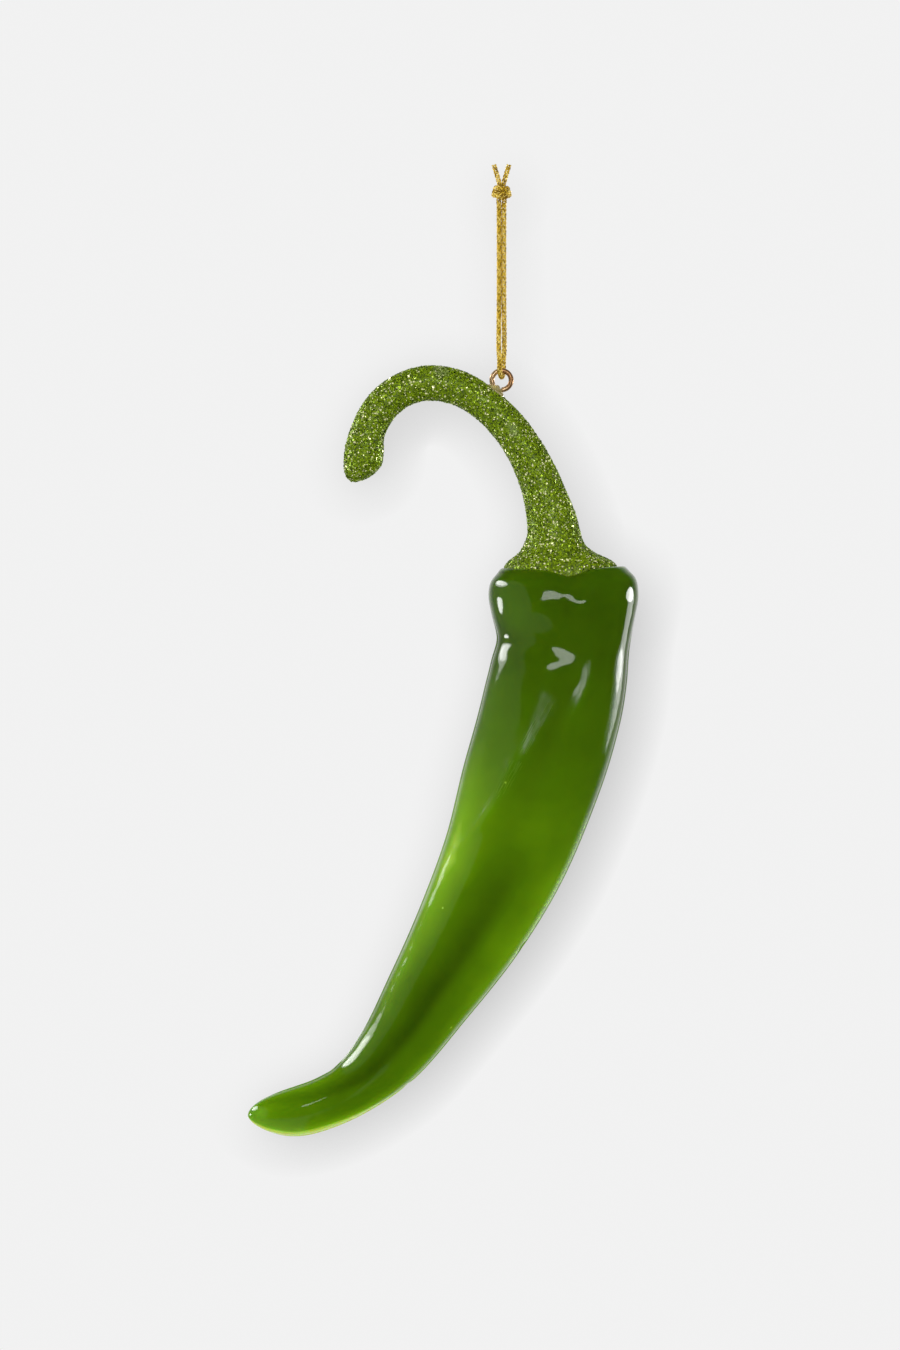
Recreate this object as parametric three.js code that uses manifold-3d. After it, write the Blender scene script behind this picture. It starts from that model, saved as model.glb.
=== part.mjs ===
// A green chilli pepper ornament, hung on a metallic cord.
// A solid cast resin chilli carries a glitter coated stem that ends in a hook. A dowel pins the two together.
// A screw eye stands in the stem, set in a bead of glue, and a loop of thin cord runs through its ring.
// Millimetres, +Z up. The front faces -Y. The origin is where a hook bears on the loop, just under its knot.

import * as THREE from 'three';
import { mergeVertices } from 'three/addons/utils/BufferGeometryUtils.js';
import Module from 'manifold-3d';

// Shared clearances
const SEAT_GAP = 0.3;
const GLUE_GAP = 0.15;

// Faces round the chilli and round its stem, which seat face to face. An even number.
const SKIN_SIDES = 36;

// Cord
const CORD_DIAMETER = 1.0;
const LOOP_DROP = 35.5;
const BIGHT_BEND_RADIUS = 2.0;
const STRAND_OFFSET_AT_EYE = 0.42;
const CORD_SIDES = 8;
const BIGHT_STEPS = 14;
const STRAND_STEPS = 26;

// The front strand on its way from the knot to the eye: share of the way down, x and y.
// The back strand is the same route turned half round.
const STRAND_ROUTE = [
  [0.0, -0.65, 0.0],
  [0.21, -0.65, 0.0],
  [0.43, -0.65, 0.0],
  [0.58, -0.66, -0.05],
  [0.7, -0.7, -0.3],
  [0.81, -0.73, -0.85],
  [0.9, -0.66, -1.5],
];

// Knot at the top of the loop: a core, two turns of doubled cord round it, and two cut tails
const KNOT_WIDTH = 4.3;
const KNOT_DEPTH = 3.7;
const KNOT_HEIGHT = 4.0;
const KNOT_CORE_WIDTH = 3.1;
const KNOT_CORE_DEPTH = 2.8;
const KNOT_TURN_DIAMETER = 1.5;
const KNOT_TURN_TILT = 24;
const KNOT_TURN_RISE = 0.4;
const KNOT_SIDES = 16;
const TAIL_LENGTH = 3.4;
const TAIL_SPLAY = 17;
const TAIL_ROOT_OFFSET = 0.55;

// Screw eye, turned home until its ring all but touches the stem
const EYE_OUTER_DIAMETER = 4.85;
const EYE_WIRE = 1.0;
const EYE_STANDOFF = 0.05;
const EYE_SHANK_LENGTH = 4.6;
const EYE_NECK_LENGTH = 0.7;
const EYE_MOUTH_ANGLE = 50;
const EYE_BEND_ANGLE = 28;
const EYE_SEAT_ALONG_STEM = 38.3;
const EYE_WIRE_SIDES = 10;
const EYE_STEPS = 40;

// Glue: a plug round the shank in its hole, and a blob round the foot of the ring that lies on the stem's skin
const GLUE_WALL = 0.5;
const GLUE_DEPTH = 3.2;
const GLUE_BLOB_LENGTH = 3.7;
const GLUE_BLOB_WIDTH = 3.0;
const GLUE_BLOB_HEIGHT = 1.15;
const GLUE_BLOB_SHIFT = -0.45;
const GLUE_SIDES = 20;

// Dowel between the chilli and its stem
const DOWEL_DIAMETER = 2.0;
const DOWEL_IN_BODY = 9.0;
const DOWEL_IN_STEM = 8.0;
const DOWEL_LEAN = 9;
const DOWEL_SIDES = 16;

// Stem: how far its spine rises over its foot, and how far to the left it reaches at the hook's end
const STEM_RISE = 38.1;
const STEM_REACH = 38.7;

// Stem's foot, left of the middle of the chilli's rim and under it
const STEM_FOOT_OFFSET = 1.75;
const STEM_FOOT_DEPTH = 1.2;

// Stem's spine from its foot up and over to the hook's end: share of the reach and share of the rise
const STEM_ROUTE = [
  [0.0, 0.0],
  [0.001, 0.116],
  [0.004, 0.231],
  [0.037, 0.373],
  [0.085, 0.512],
  [0.149, 0.643],
  [0.23, 0.764],
  [0.347, 0.882],
  [0.488, 0.971],
  [0.643, 1.0],
  [0.783, 0.963],
  [0.895, 0.871],
  [0.964, 0.74],
  [0.985, 0.609],
  [1.0, 0.478],
];

// Stem's thickness: share of the way along its spine, and width there
const STEM_WIDTHS = [
  [0.0, 11.0],
  [0.078, 10.7],
  [0.115, 10.1],
  [0.16, 9.3],
  [0.199, 8.5],
  [0.261, 7.8],
  [0.334, 7.2],
  [0.407, 6.9],
  [0.49, 6.6],
  [0.573, 6.8],
  [0.652, 6.8],
  [0.724, 6.6],
  [0.796, 6.6],
  [0.869, 6.7],
  [0.922, 7.6],
  [1.0, 7.2],
];
const STEM_STEP = 1.7;
const STEM_END_ZONE = 5.0;
const STEM_END_TAPER = 0.58;
const STEM_END_FLAT = 0.34;
const STEM_CUT_SLANT = 1.5;
const STEM_CUT_REACH = 5.0;

// Calyx, the flared foot of the stem: height over the shoulder's rim, and the share of the flare left there
const CALYX_FLARE = [
  [0.6, 0.95],
  [1.5, 0.76],
  [2.7, 0.4],
  [3.9, 0.19],
  [5.1, 0.07],
];
const CALYX_EDGE_HEIGHT = 0.2;

// Chilli: how far its spine drops from the middle of the shoulder's rim to the tip, and how far it sweeps to the left
const BODY_DROP = 109.6;
const BODY_SWEEP = 63.0;

// Chilli's spine from the middle of the rim down to the tip: share of the sweep and share of the drop
const BODY_ROUTE = [
  [0.0, 0.0],
  [-0.002, 0.064],
  [0.002, 0.137],
  [0.018, 0.21],
  [0.055, 0.301],
  [0.103, 0.39],
  [0.182, 0.524],
  [0.289, 0.651],
  [0.417, 0.773],
  [0.554, 0.89],
  [0.678, 0.954],
  [0.824, 0.99],
  [1.0, 1.0],
];

// Chilli's outline from the front: share of the way along its spine, and width as a share of the shoulder's
const BODY_WIDTH = 30.0;
const BODY_OUTLINE = [
  [0.0, 0.833],
  [0.0065, 0.882],
  [0.0153, 0.953],
  [0.026, 0.99],
  [0.044, 1.0],
  [0.0625, 0.973],
  [0.093, 0.917],
  [0.118, 0.893],
  [0.153, 0.91],
  [0.205, 0.927],
  [0.317, 0.91],
  [0.429, 0.83],
  [0.543, 0.727],
  [0.654, 0.597],
  [0.766, 0.465],
  [0.841, 0.365],
  [0.916, 0.333],
  [1.0, 0.32],
];
const BODY_DEPTH_AT_SHOULDER = 23.6;
const BODY_DEPTH_SHARE_AT_TIP = 1.06;
const SHOULDER_ZONE = 22;
const SHOULDER_STEP = 1.3;
const FLANK_STEP = 3.4;
const TIP_ZONE = 12;
const TIP_TAPER = 0.58;
const TIP_RINGS = 8;
const TIP_END_SHARE = 0.07;

// Recess in the top of the chilli that the calyx sits in, its floor square to the spine
const RECESS_INSET = 3.5;
const RECESS_OFFSET = -0.5;
const RECESS_DEPTH = 3.0;
const RECESS_LIP = 0.2;
const CLEFT_DROP = 1.8;
const RIM_DROOP = 0.6;

// Swellings and dents of the chilli's skin. at and along are millimetres down the spine, angle and around are degrees
// round it from the right edge through the front, drift is degrees for each millimetre down, lift is millimetres.
const SKIN_FORMS = [
  { name: 'front cleft', at: 0, along: 6.5, angle: 83, around: 17, drift: 0, lift: -1.1 },
  { name: 'back left cleft', at: 0, along: 8, angle: 215, around: 17, drift: 0, lift: -1.2 },
  { name: 'back right cleft', at: 0, along: 8, angle: 322, around: 17, drift: 0, lift: -1.2 },
  { name: 'shoulder pinch', at: 15.2, along: 3.2, angle: 138, around: 46, drift: 0, lift: -0.9 },
  { name: 'brow under the pinch', at: 20.5, along: 2.8, angle: 92, around: 24, drift: 0, lift: 0.45 },
  { name: 'front valley', at: 36, along: 15, angle: 86, around: 13, drift: 0.3, lift: -0.9 },
  { name: 'front ridge', at: 42, along: 16, angle: 110, around: 13, drift: 0.5, lift: 0.55 },
  { name: 'lower valley', at: 88, along: 24, angle: 74, around: 20, drift: 0.1, lift: -0.7 },
  { name: 'back pinch', at: 19, along: 4.5, angle: 252, around: 38, drift: 0, lift: -0.7 },
  { name: 'back furrow', at: 58, along: 28, angle: 268, around: 15, drift: 0.1, lift: -0.9 },
];

const RESIN = new THREE.MeshStandardMaterial({ color: 0x3f6a08, roughness: 0.08, metalness: 0 });
const GLITTER = new THREE.MeshStandardMaterial({ color: 0x7d9a26, roughness: 0.35, metalness: 0.6 });
const BRASS = new THREE.MeshStandardMaterial({ color: 0xa97d3c, roughness: 0.25, metalness: 1 });
const STEEL = new THREE.MeshStandardMaterial({ color: 0xa8aaac, roughness: 0.4, metalness: 1 });
const GLUE = new THREE.MeshStandardMaterial({ color: 0xb39a58, roughness: 0.3, metalness: 0 });
const CORD = new THREE.MeshStandardMaterial({ color: 0xc39a2c, roughness: 0.45, metalness: 0.7 });

const wasm = await Module();
wasm.setup();

const FRONT = new THREE.Vector3(0, -1, 0);
const radians = THREE.MathUtils.degToRad;

// A spine through points of the X-Z plane, with a width that changes along it by shares of its length
class Spine {
  constructor(points, widths) {
    this.curve = new THREE.CatmullRomCurve3(points.map(([x, z]) => new THREE.Vector3(x, 0, z)), false, 'centripetal');
    this.curve.arcLengthDivisions = 40 * points.length;
    this.length = this.curve.getLength();
    this.widths = widths.map(([share, width]) => [share * this.length, width]);
  }

  // Width by a smooth curve through the stations
  widthAt(distance) {
    const { widths } = this;
    const last = widths.length - 1;
    const d = THREE.MathUtils.clamp(distance, widths[0][0], widths[last][0]);
    let i = 0;
    while (i < last - 1 && d > widths[i + 1][0]) i += 1;
    const slope = (k) => {
      const [fromDistance, fromWidth] = widths[Math.max(k - 1, 0)];
      const [toDistance, toWidth] = widths[Math.min(k + 1, last)];
      return (toWidth - fromWidth) / (toDistance - fromDistance);
    };
    const span = widths[i + 1][0] - widths[i][0];
    const t = (d - widths[i][0]) / span;
    return THREE.MathUtils.lerp(widths[i][1], widths[i + 1][1], t * t * (3 - 2 * t))
      + span * (slope(i) * t * (1 - t) ** 2 - slope(i + 1) * t * t * (1 - t));
  }

  // Point, direction along and direction across at a distance, straight on past either end
  frameAt(distance) {
    const u = THREE.MathUtils.clamp(distance / this.length, 0, 1);
    const along = this.curve.getTangentAt(u);
    const point = this.curve.getPointAt(u).addScaledVector(along, distance - u * this.length);
    const across = new THREE.Vector3(-along.z, 0, along.x);
    return { point, along, across };
  }
}

// A closed skin over rings of points. Each end is closed by a fan to the middle of its ring.
function loft(rings) {
  const sides = rings[0].length;
  const vertices = rings.flat();
  const faces = [];
  for (let ring = 0; ring < rings.length - 1; ring += 1) {
    for (let side = 0; side < sides; side += 1) {
      const next = (side + 1) % sides;
      const a = ring * sides + side;
      const b = ring * sides + next;
      faces.push([a, b, b + sides], [a, b + sides, a + sides]);
    }
  }
  const middleOf = (ring) => ring.reduce((sum, p) => sum.add(p), new THREE.Vector3()).divideScalar(sides);
  const startMiddle = vertices.push(middleOf(rings[0])) - 1;
  const endMiddle = vertices.push(middleOf(rings.at(-1))) - 1;
  const lastRing = (rings.length - 1) * sides;
  for (let side = 0; side < sides; side += 1) {
    const next = (side + 1) % sides;
    faces.push([startMiddle, next, side], [endMiddle, lastRing + side, lastRing + next]);
  }
  const geometry = new THREE.BufferGeometry();
  const positions = vertices.flatMap((p) => [p.x, p.y, p.z]);
  geometry.setAttribute('position', new THREE.Float32BufferAttribute(positions, 3));
  geometry.setIndex(faces.flat());
  return geometry;
}

// A round rod along a path of points, with flat ends. The curve segments count half of a full circle's sides.
function rod(points, diameter, sides, steps) {
  const section = new THREE.Shape();
  section.absarc(0, 0, diameter / 2, 0, Math.PI * 2);
  const path = new THREE.CatmullRomCurve3(points, false, 'centripetal');
  return new THREE.ExtrudeGeometry(section, { steps, curveSegments: sides / 2, extrudePath: path });
}

function toManifold(geometry, matrix = new THREE.Matrix4()) {
  const bare = geometry.clone().applyMatrix4(matrix);
  bare.deleteAttribute('normal');
  bare.deleteAttribute('uv');
  const merged = mergeVertices(bare, 1e-5);
  const mesh = new wasm.Mesh({
    numProp: 3,
    vertProperties: new Float32Array(merged.attributes.position.array),
    triVerts: new Uint32Array(merged.index.array),
  });
  return new wasm.Manifold(mesh);
}

function fromManifold(solid) {
  const mesh = solid.getMesh();
  const geometry = new THREE.BufferGeometry();
  geometry.setAttribute('position', new THREE.BufferAttribute(new Float32Array(mesh.vertProperties), 3));
  geometry.setIndex(new THREE.BufferAttribute(new Uint32Array(mesh.triVerts), 1));
  return geometry;
}

function namedMesh(name, geometry, material) {
  geometry.computeVertexNormals();
  const mesh = new THREE.Mesh(geometry, material);
  mesh.name = name;
  return mesh;
}

// Turns a shape made round +Z so that it points along a direction from a place
function placed(point, direction) {
  const turn = new THREE.Quaternion().setFromUnitVectors(new THREE.Vector3(0, 0, 1), direction);
  return new THREE.Matrix4().compose(point, turn, new THREE.Vector3(1, 1, 1));
}

// A round hole's cutter from a point along a direction
function cutter(point, direction, diameter, length, sides) {
  const shape = new THREE.CylinderGeometry(diameter / 2, diameter / 2, length, sides);
  shape.rotateX(Math.PI / 2).translate(0, 0, length / 2);
  return toManifold(shape, placed(point, direction));
}

// Chilli, modelled from the middle of its rim

const bodySpine = new Spine(
  BODY_ROUTE.map(([swept, dropped]) => [-swept * BODY_SWEEP, -dropped * BODY_DROP]),
  BODY_OUTLINE.map(([along, share]) => [along, share * BODY_WIDTH]),
);
const recessWidth = BODY_WIDTH - 2 * RECESS_INSET;
const deepestDent = Math.max(...SKIN_FORMS.map((form) => -form.lift));

function bell(value, middle, spread) {
  return Math.exp(-(((value - middle) / spread) ** 2));
}

function skinLift(distance, angle) {
  let lift = 0;
  for (const form of SKIN_FORMS) {
    const middle = form.angle + form.drift * (distance - form.at);
    const away = THREE.MathUtils.euclideanModulo(angle - middle + 180, 360) - 180;
    lift += form.lift * bell(distance, form.at, form.along) * bell(away, 0, form.around);
  }
  return lift * Math.min(1, bodySpine.widthAt(distance) / BODY_WIDTH);
}

// How far the rim sinks, in its clefts and a little at the front and the back
function rimDrop(angle) {
  const clefts = Math.max(0, -skinLift(0, angle)) / deepestDent;
  return CLEFT_DROP * clefts + RIM_DROOP * Math.sin(radians(angle)) ** 2;
}

function depthShare(distance) {
  const down = Math.max(0, distance / bodySpine.length);
  return THREE.MathUtils.lerp(BODY_DEPTH_AT_SHOULDER / BODY_WIDTH, BODY_DEPTH_SHARE_AT_TIP, down);
}

// One ring of the chilli's section. The offset slides it across, and the sink is how much of the rim's drop it takes.
function bodyRing(distance, width, offset = 0, sink = 1) {
  const ring = [];
  for (let side = 0; side < SKIN_SIDES; side += 1) {
    const angle = (360 * side) / SKIN_SIDES;
    const fade = sink * THREE.MathUtils.clamp(1 - distance / SHOULDER_ZONE, 0, 1) ** 3;
    const { point, across } = bodySpine.frameAt(distance + rimDrop(angle) * fade);
    const lift = skinLift(Math.max(distance, 0), angle);
    const outline = new THREE.Vector3()
      .addScaledVector(across, (width / 2) * Math.cos(radians(angle)))
      .addScaledVector(FRONT, (width / 2) * depthShare(distance) * Math.sin(radians(angle)));
    const radius = outline.length();
    point.addScaledVector(across, offset);
    ring.push(point.addScaledVector(outline, Math.max(radius + lift, radius / 4) / radius));
  }
  return ring;
}

// The share of its width that is left at a distance from a rounded end
function endShare(toEnd, zone, taper) {
  const inside = THREE.MathUtils.clamp(1 - toEnd / zone, 0, 1);
  return (1 - inside ** 2) ** taper;
}

function bodyWidthAt(distance) {
  return bodySpine.widthAt(distance) * endShare(bodySpine.length - distance, TIP_ZONE, TIP_TAPER);
}

function makeBody() {
  const rings = [
    bodyRing(RECESS_DEPTH, recessWidth / 2, RECESS_OFFSET, 0),
    bodyRing(RECESS_DEPTH, recessWidth, RECESS_OFFSET, 0),
    bodyRing(RECESS_LIP, recessWidth, RECESS_OFFSET),
  ];
  for (let distance = 0; distance < SHOULDER_ZONE; distance += SHOULDER_STEP) {
    rings.push(bodyRing(distance, bodyWidthAt(distance)));
  }
  const flankEnd = bodySpine.length - TIP_ZONE;
  const flankSteps = Math.round((flankEnd - SHOULDER_ZONE) / FLANK_STEP);
  for (let step = 0; step <= flankSteps; step += 1) {
    const distance = THREE.MathUtils.lerp(SHOULDER_ZONE, flankEnd, step / flankSteps);
    rings.push(bodyRing(distance, bodyWidthAt(distance)));
  }
  for (let ring = 1; ring <= TIP_RINGS; ring += 1) {
    const toTip = TIP_ZONE * THREE.MathUtils.lerp(1, TIP_END_SHARE, ring / TIP_RINGS) ** 2;
    const distance = bodySpine.length - toTip;
    rings.push(bodyRing(distance, bodyWidthAt(distance)));
  }
  return loft(rings);
}

// Stem with its calyx

const stemSpine = new Spine(
  STEM_ROUTE.map(([out, up]) => [-STEM_FOOT_OFFSET - out * STEM_REACH, -STEM_FOOT_DEPTH + up * STEM_RISE]),
  STEM_WIDTHS,
);

// One ring of the stem. The offset slides it across.
function stemRing(distance, width, offset = 0) {
  const { point, across } = stemSpine.frameAt(distance);
  point.addScaledVector(across, offset);
  const ring = [];
  for (let side = 0; side < SKIN_SIDES; side += 1) {
    const angle = (2 * Math.PI * side) / SKIN_SIDES;
    ring.push(point.clone()
      .addScaledVector(across, (width / 2) * Math.cos(angle))
      .addScaledVector(FRONT, (width / 2) * Math.sin(angle)));
  }
  return ring;
}

// A ring of the chilli's section for what sits in the recess. The stem's spine runs upward, so it winds the other way.
function seatedRing(distance, width, sink = 1) {
  const ring = bodyRing(distance, width, RECESS_OFFSET, sink);
  return ring.map((_, side) => ring[(SKIN_SIDES / 2 - side + SKIN_SIDES) % SKIN_SIDES]);
}

function makeStem() {
  const seatWidth = recessWidth - 2 * SEAT_GAP;
  const rings = [
    seatedRing(RECESS_DEPTH - SEAT_GAP, seatWidth / 2, 0),
    seatedRing(RECESS_DEPTH - SEAT_GAP, seatWidth, 0),
    seatedRing(-CALYX_EDGE_HEIGHT, seatWidth),
  ];
  // The flare eases from the chilli's section to the stem's round one
  for (const [height, flareLeft] of CALYX_FLARE) {
    const distance = height + STEM_FOOT_DEPTH;
    const width = THREE.MathUtils.lerp(stemSpine.widthAt(distance), seatWidth, flareLeft);
    const round = stemRing(distance, width);
    rings.push(seatedRing(-height, width).map((p, side) => p.lerp(round[side], 1 - flareLeft)));
  }
  const flareTop = CALYX_FLARE.at(-1)[0] + STEM_FOOT_DEPTH;
  const shaftEnd = stemSpine.length - STEM_END_FLAT;
  const steps = Math.round((shaftEnd - flareTop) / STEM_STEP);
  for (let step = 1; step <= steps; step += 1) {
    const distance = THREE.MathUtils.lerp(flareTop, shaftEnd, step / steps);
    const toEnd = stemSpine.length - distance;
    const width = stemSpine.widthAt(distance) * endShare(toEnd, STEM_END_ZONE, STEM_END_TAPER);
    const slant = -STEM_CUT_SLANT * Math.max(0, 1 - toEnd / STEM_CUT_REACH) ** 2;
    rings.push(stemRing(distance, width, slant));
  }
  return loft(rings);
}

// Screw eye, bent from one wire. Its ring lies in the X-Z plane, its shank points into the stem.

const eyeSeat = stemSpine.frameAt(EYE_SEAT_ALONG_STEM);
const eyeOutward = eyeSeat.across.clone().negate();
const eyeSeatSurface = eyeSeat.point.clone()
  .addScaledVector(eyeOutward, stemSpine.widthAt(EYE_SEAT_ALONG_STEM) / 2);
const eyeReach = EYE_STANDOFF + EYE_OUTER_DIAMETER / 2;
const eyeMiddle = eyeSeatSurface.clone().addScaledVector(eyeOutward, eyeReach);
const eyeRingRadius = (EYE_OUTER_DIAMETER - EYE_WIRE) / 2;

// From the shank's tip straight out to the neck, then round the ring to its open mouth
function eyePath() {
  const points = [EYE_SHANK_LENGTH, EYE_SHANK_LENGTH / 2, EYE_NECK_LENGTH + EYE_WIRE / 2, EYE_NECK_LENGTH].map(
    (depth) => eyeSeatSurface.clone().addScaledVector(eyeOutward, -depth),
  );
  const footAngle = THREE.MathUtils.radToDeg(Math.atan2(-eyeOutward.z, -eyeOutward.x));
  const arcStart = footAngle - EYE_BEND_ANGLE;
  const arcEnd = footAngle + EYE_MOUTH_ANGLE - 360;
  const arcPoints = 20;
  for (let i = 0; i <= arcPoints; i += 1) {
    const angle = radians(THREE.MathUtils.lerp(arcStart, arcEnd, i / arcPoints));
    points.push(eyeMiddle.clone().add(
      new THREE.Vector3(eyeRingRadius * Math.cos(angle), 0, eyeRingRadius * Math.sin(angle)),
    ));
  }
  return points;
}

// The glue: a blob cut to the stem's skin, a plug in the hole, and the eye's wire cut out of both
function makeGlue() {
  const plugWidth = EYE_WIRE + 2 * (GLUE_GAP + GLUE_WALL);
  const plugStart = eyeSeatSurface.clone().addScaledVector(eyeOutward, -GLUE_DEPTH);
  const plug = cutter(plugStart, eyeOutward, plugWidth, GLUE_DEPTH + GLUE_BLOB_HEIGHT / 2, GLUE_SIDES);
  const blob = new THREE.SphereGeometry(1, GLUE_SIDES, GLUE_SIDES / 2);
  blob.scale(GLUE_BLOB_LENGTH / 2, GLUE_BLOB_WIDTH / 2, GLUE_BLOB_HEIGHT);
  blob.rotateY(Math.atan2(eyeOutward.x, eyeOutward.z));
  const blobMiddle = eyeSeatSurface.clone().addScaledVector(eyeSeat.along, GLUE_BLOB_SHIFT);
  const skin = [];
  for (const reach of [-1, -0.5, 0, 0.5, 1]) {
    const distance = EYE_SEAT_ALONG_STEM + reach * (GLUE_BLOB_LENGTH + GLUE_BLOB_HEIGHT);
    skin.push(stemRing(distance, stemSpine.widthAt(distance) + 2 * GLUE_GAP));
  }
  const wire = rod(eyePath(), EYE_WIRE + 2 * GLUE_GAP, EYE_WIRE_SIDES, EYE_STEPS);
  return toManifold(blob, new THREE.Matrix4().makeTranslation(blobMiddle))
    .subtract(toManifold(loft(skin)))
    .add(plug)
    .subtract(toManifold(wire));
}

// Dowel

const dowelLean = radians(DOWEL_LEAN);
const dowelDirection = new THREE.Vector3(-Math.sin(dowelLean), 0, Math.cos(dowelLean));
const dowelStart = bodySpine.frameAt(RECESS_DEPTH).point.addScaledVector(dowelDirection, -DOWEL_IN_BODY);
const dowelLength = DOWEL_IN_BODY + DOWEL_IN_STEM;

const dowel = cutter(dowelStart, dowelDirection, DOWEL_DIAMETER, dowelLength, DOWEL_SIDES);

// The dowel's hole is wider all round, and deeper at both ends, by the seat gap
const dowelBore = cutter(
  dowelStart.clone().addScaledVector(dowelDirection, -SEAT_GAP),
  dowelDirection,
  DOWEL_DIAMETER + 2 * SEAT_GAP,
  dowelLength + 2 * SEAT_GAP,
  DOWEL_SIDES,
);

// The eye's hole holds the shank and the glue round it
const eyeBoreDepth = Math.max(EYE_SHANK_LENGTH, GLUE_DEPTH) + SEAT_GAP;
const eyeBore = cutter(
  eyeSeatSurface.clone().addScaledVector(eyeOutward, -eyeBoreDepth),
  eyeOutward,
  EYE_WIRE + 2 * (GLUE_GAP + GLUE_WALL + GLUE_GAP),
  eyeBoreDepth + EYE_WIRE,
  GLUE_SIDES,
);

const bodySolid = toManifold(makeBody()).subtract(dowelBore);
const stemSolid = toManifold(makeStem()).subtract(dowelBore).subtract(eyeBore);

// The ornament hangs with the middle of the eye's ring straight under the origin
const ornament = new THREE.Group();
ornament.position.set(-eyeMiddle.x, 0, -LOOP_DROP - eyeMiddle.z);
ornament.add(
  namedMesh('chili_body', fromManifold(bodySolid), RESIN),
  namedMesh('stem', fromManifold(stemSolid), GLITTER),
  namedMesh('stem_dowel', fromManifold(dowel), STEEL),
  namedMesh('screw_eye', rod(eyePath(), EYE_WIRE, EYE_WIRE_SIDES, EYE_STEPS), BRASS),
  namedMesh('eye_glue', fromManifold(makeGlue()), GLUE),
);

// Cord. The bight passes under the top of the eye's ring, and the two strands rise to the knot.

const wireTop = -LOOP_DROP + eyeRingRadius;
const bightLow = wireTop - EYE_WIRE / 2 - SEAT_GAP - CORD_DIAMETER / 2;
const bightMiddle = bightLow + BIGHT_BEND_RADIUS;

// A point of the bight, from -90 degrees at the front strand to 90 at the back one
function bightPoint(angle) {
  const forward = Math.sin(radians(angle));
  return new THREE.Vector3(
    STRAND_OFFSET_AT_EYE * forward,
    BIGHT_BEND_RADIUS * forward,
    bightMiddle - BIGHT_BEND_RADIUS * Math.cos(radians(angle)),
  );
}

function makeBight() {
  const points = [];
  for (let angle = -90; angle <= 90; angle += 15) points.push(bightPoint(angle));
  return rod(points, CORD_DIAMETER, CORD_SIDES, BIGHT_STEPS);
}

function makeStrand(turn) {
  const end = bightPoint(-90).add(new THREE.Vector3(0, 0, SEAT_GAP));
  const lead = end.clone().add(new THREE.Vector3(0, 0, CORD_DIAMETER));
  const points = STRAND_ROUTE.map(([share, x, y]) => new THREE.Vector3(x, y, share * end.z)).concat([lead, end]);
  points.forEach((p) => p.set(p.x * turn, p.y * turn, p.z));
  return rod(points, CORD_DIAMETER, CORD_SIDES, STRAND_STEPS);
}

// The knot: the two turns are tilted across each other, and the tails splay out of the top
function makeKnot() {
  const middle = SEAT_GAP + KNOT_HEIGHT / 2;
  const core = new THREE.SphereGeometry(1, KNOT_SIDES, KNOT_SIDES / 2).rotateX(Math.PI / 2);
  core.scale(KNOT_CORE_WIDTH / 2, KNOT_CORE_DEPTH / 2, KNOT_HEIGHT / 2);
  let knot = toManifold(core, new THREE.Matrix4().makeTranslation(0, 0, middle));
  const turnRadius = (KNOT_WIDTH - KNOT_TURN_DIAMETER) / 2;
  for (const side of [-1, 1]) {
    const turn = new THREE.TorusGeometry(turnRadius, KNOT_TURN_DIAMETER / 2, KNOT_SIDES / 2, KNOT_SIDES);
    turn.scale(1, KNOT_DEPTH / KNOT_WIDTH, 1).rotateY(radians(KNOT_TURN_TILT * side));
    const height = middle + side * KNOT_TURN_RISE;
    knot = knot.add(toManifold(turn, new THREE.Matrix4().makeTranslation(0, 0, height)));
    const splay = radians(TAIL_SPLAY * side);
    const direction = new THREE.Vector3(Math.sin(splay), 0, Math.cos(splay));
    const root = new THREE.Vector3(TAIL_ROOT_OFFSET * side, 0, middle);
    const tailReach = KNOT_HEIGHT / 2 + TAIL_LENGTH;
    knot = knot.add(cutter(root, direction, CORD_DIAMETER, tailReach, CORD_SIDES));
  }
  return knot;
}

const cord = new THREE.Group();
cord.add(
  namedMesh('cord_knot', fromManifold(makeKnot()), CORD),
  namedMesh('cord_strand_front', makeStrand(1), CORD),
  namedMesh('cord_strand_back', makeStrand(-1), CORD),
  namedMesh('cord_bight', makeBight(), CORD),
);

const chiliOrnament = new THREE.Group();
chiliOrnament.add(cord, ornament);

export default chiliOrnament;
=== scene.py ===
"""The look of a green chilli pepper ornament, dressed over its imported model.

A solid casting of clear green resin carries a glittered stem, a small screw eye in a bead of glue, and a loop of
braided metallic cord. Sizes are in millimetres in the classes and in metres in the scene.
"""

import logging
import math
from dataclasses import dataclass, field
from enum import Enum
from typing import Protocol

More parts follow.
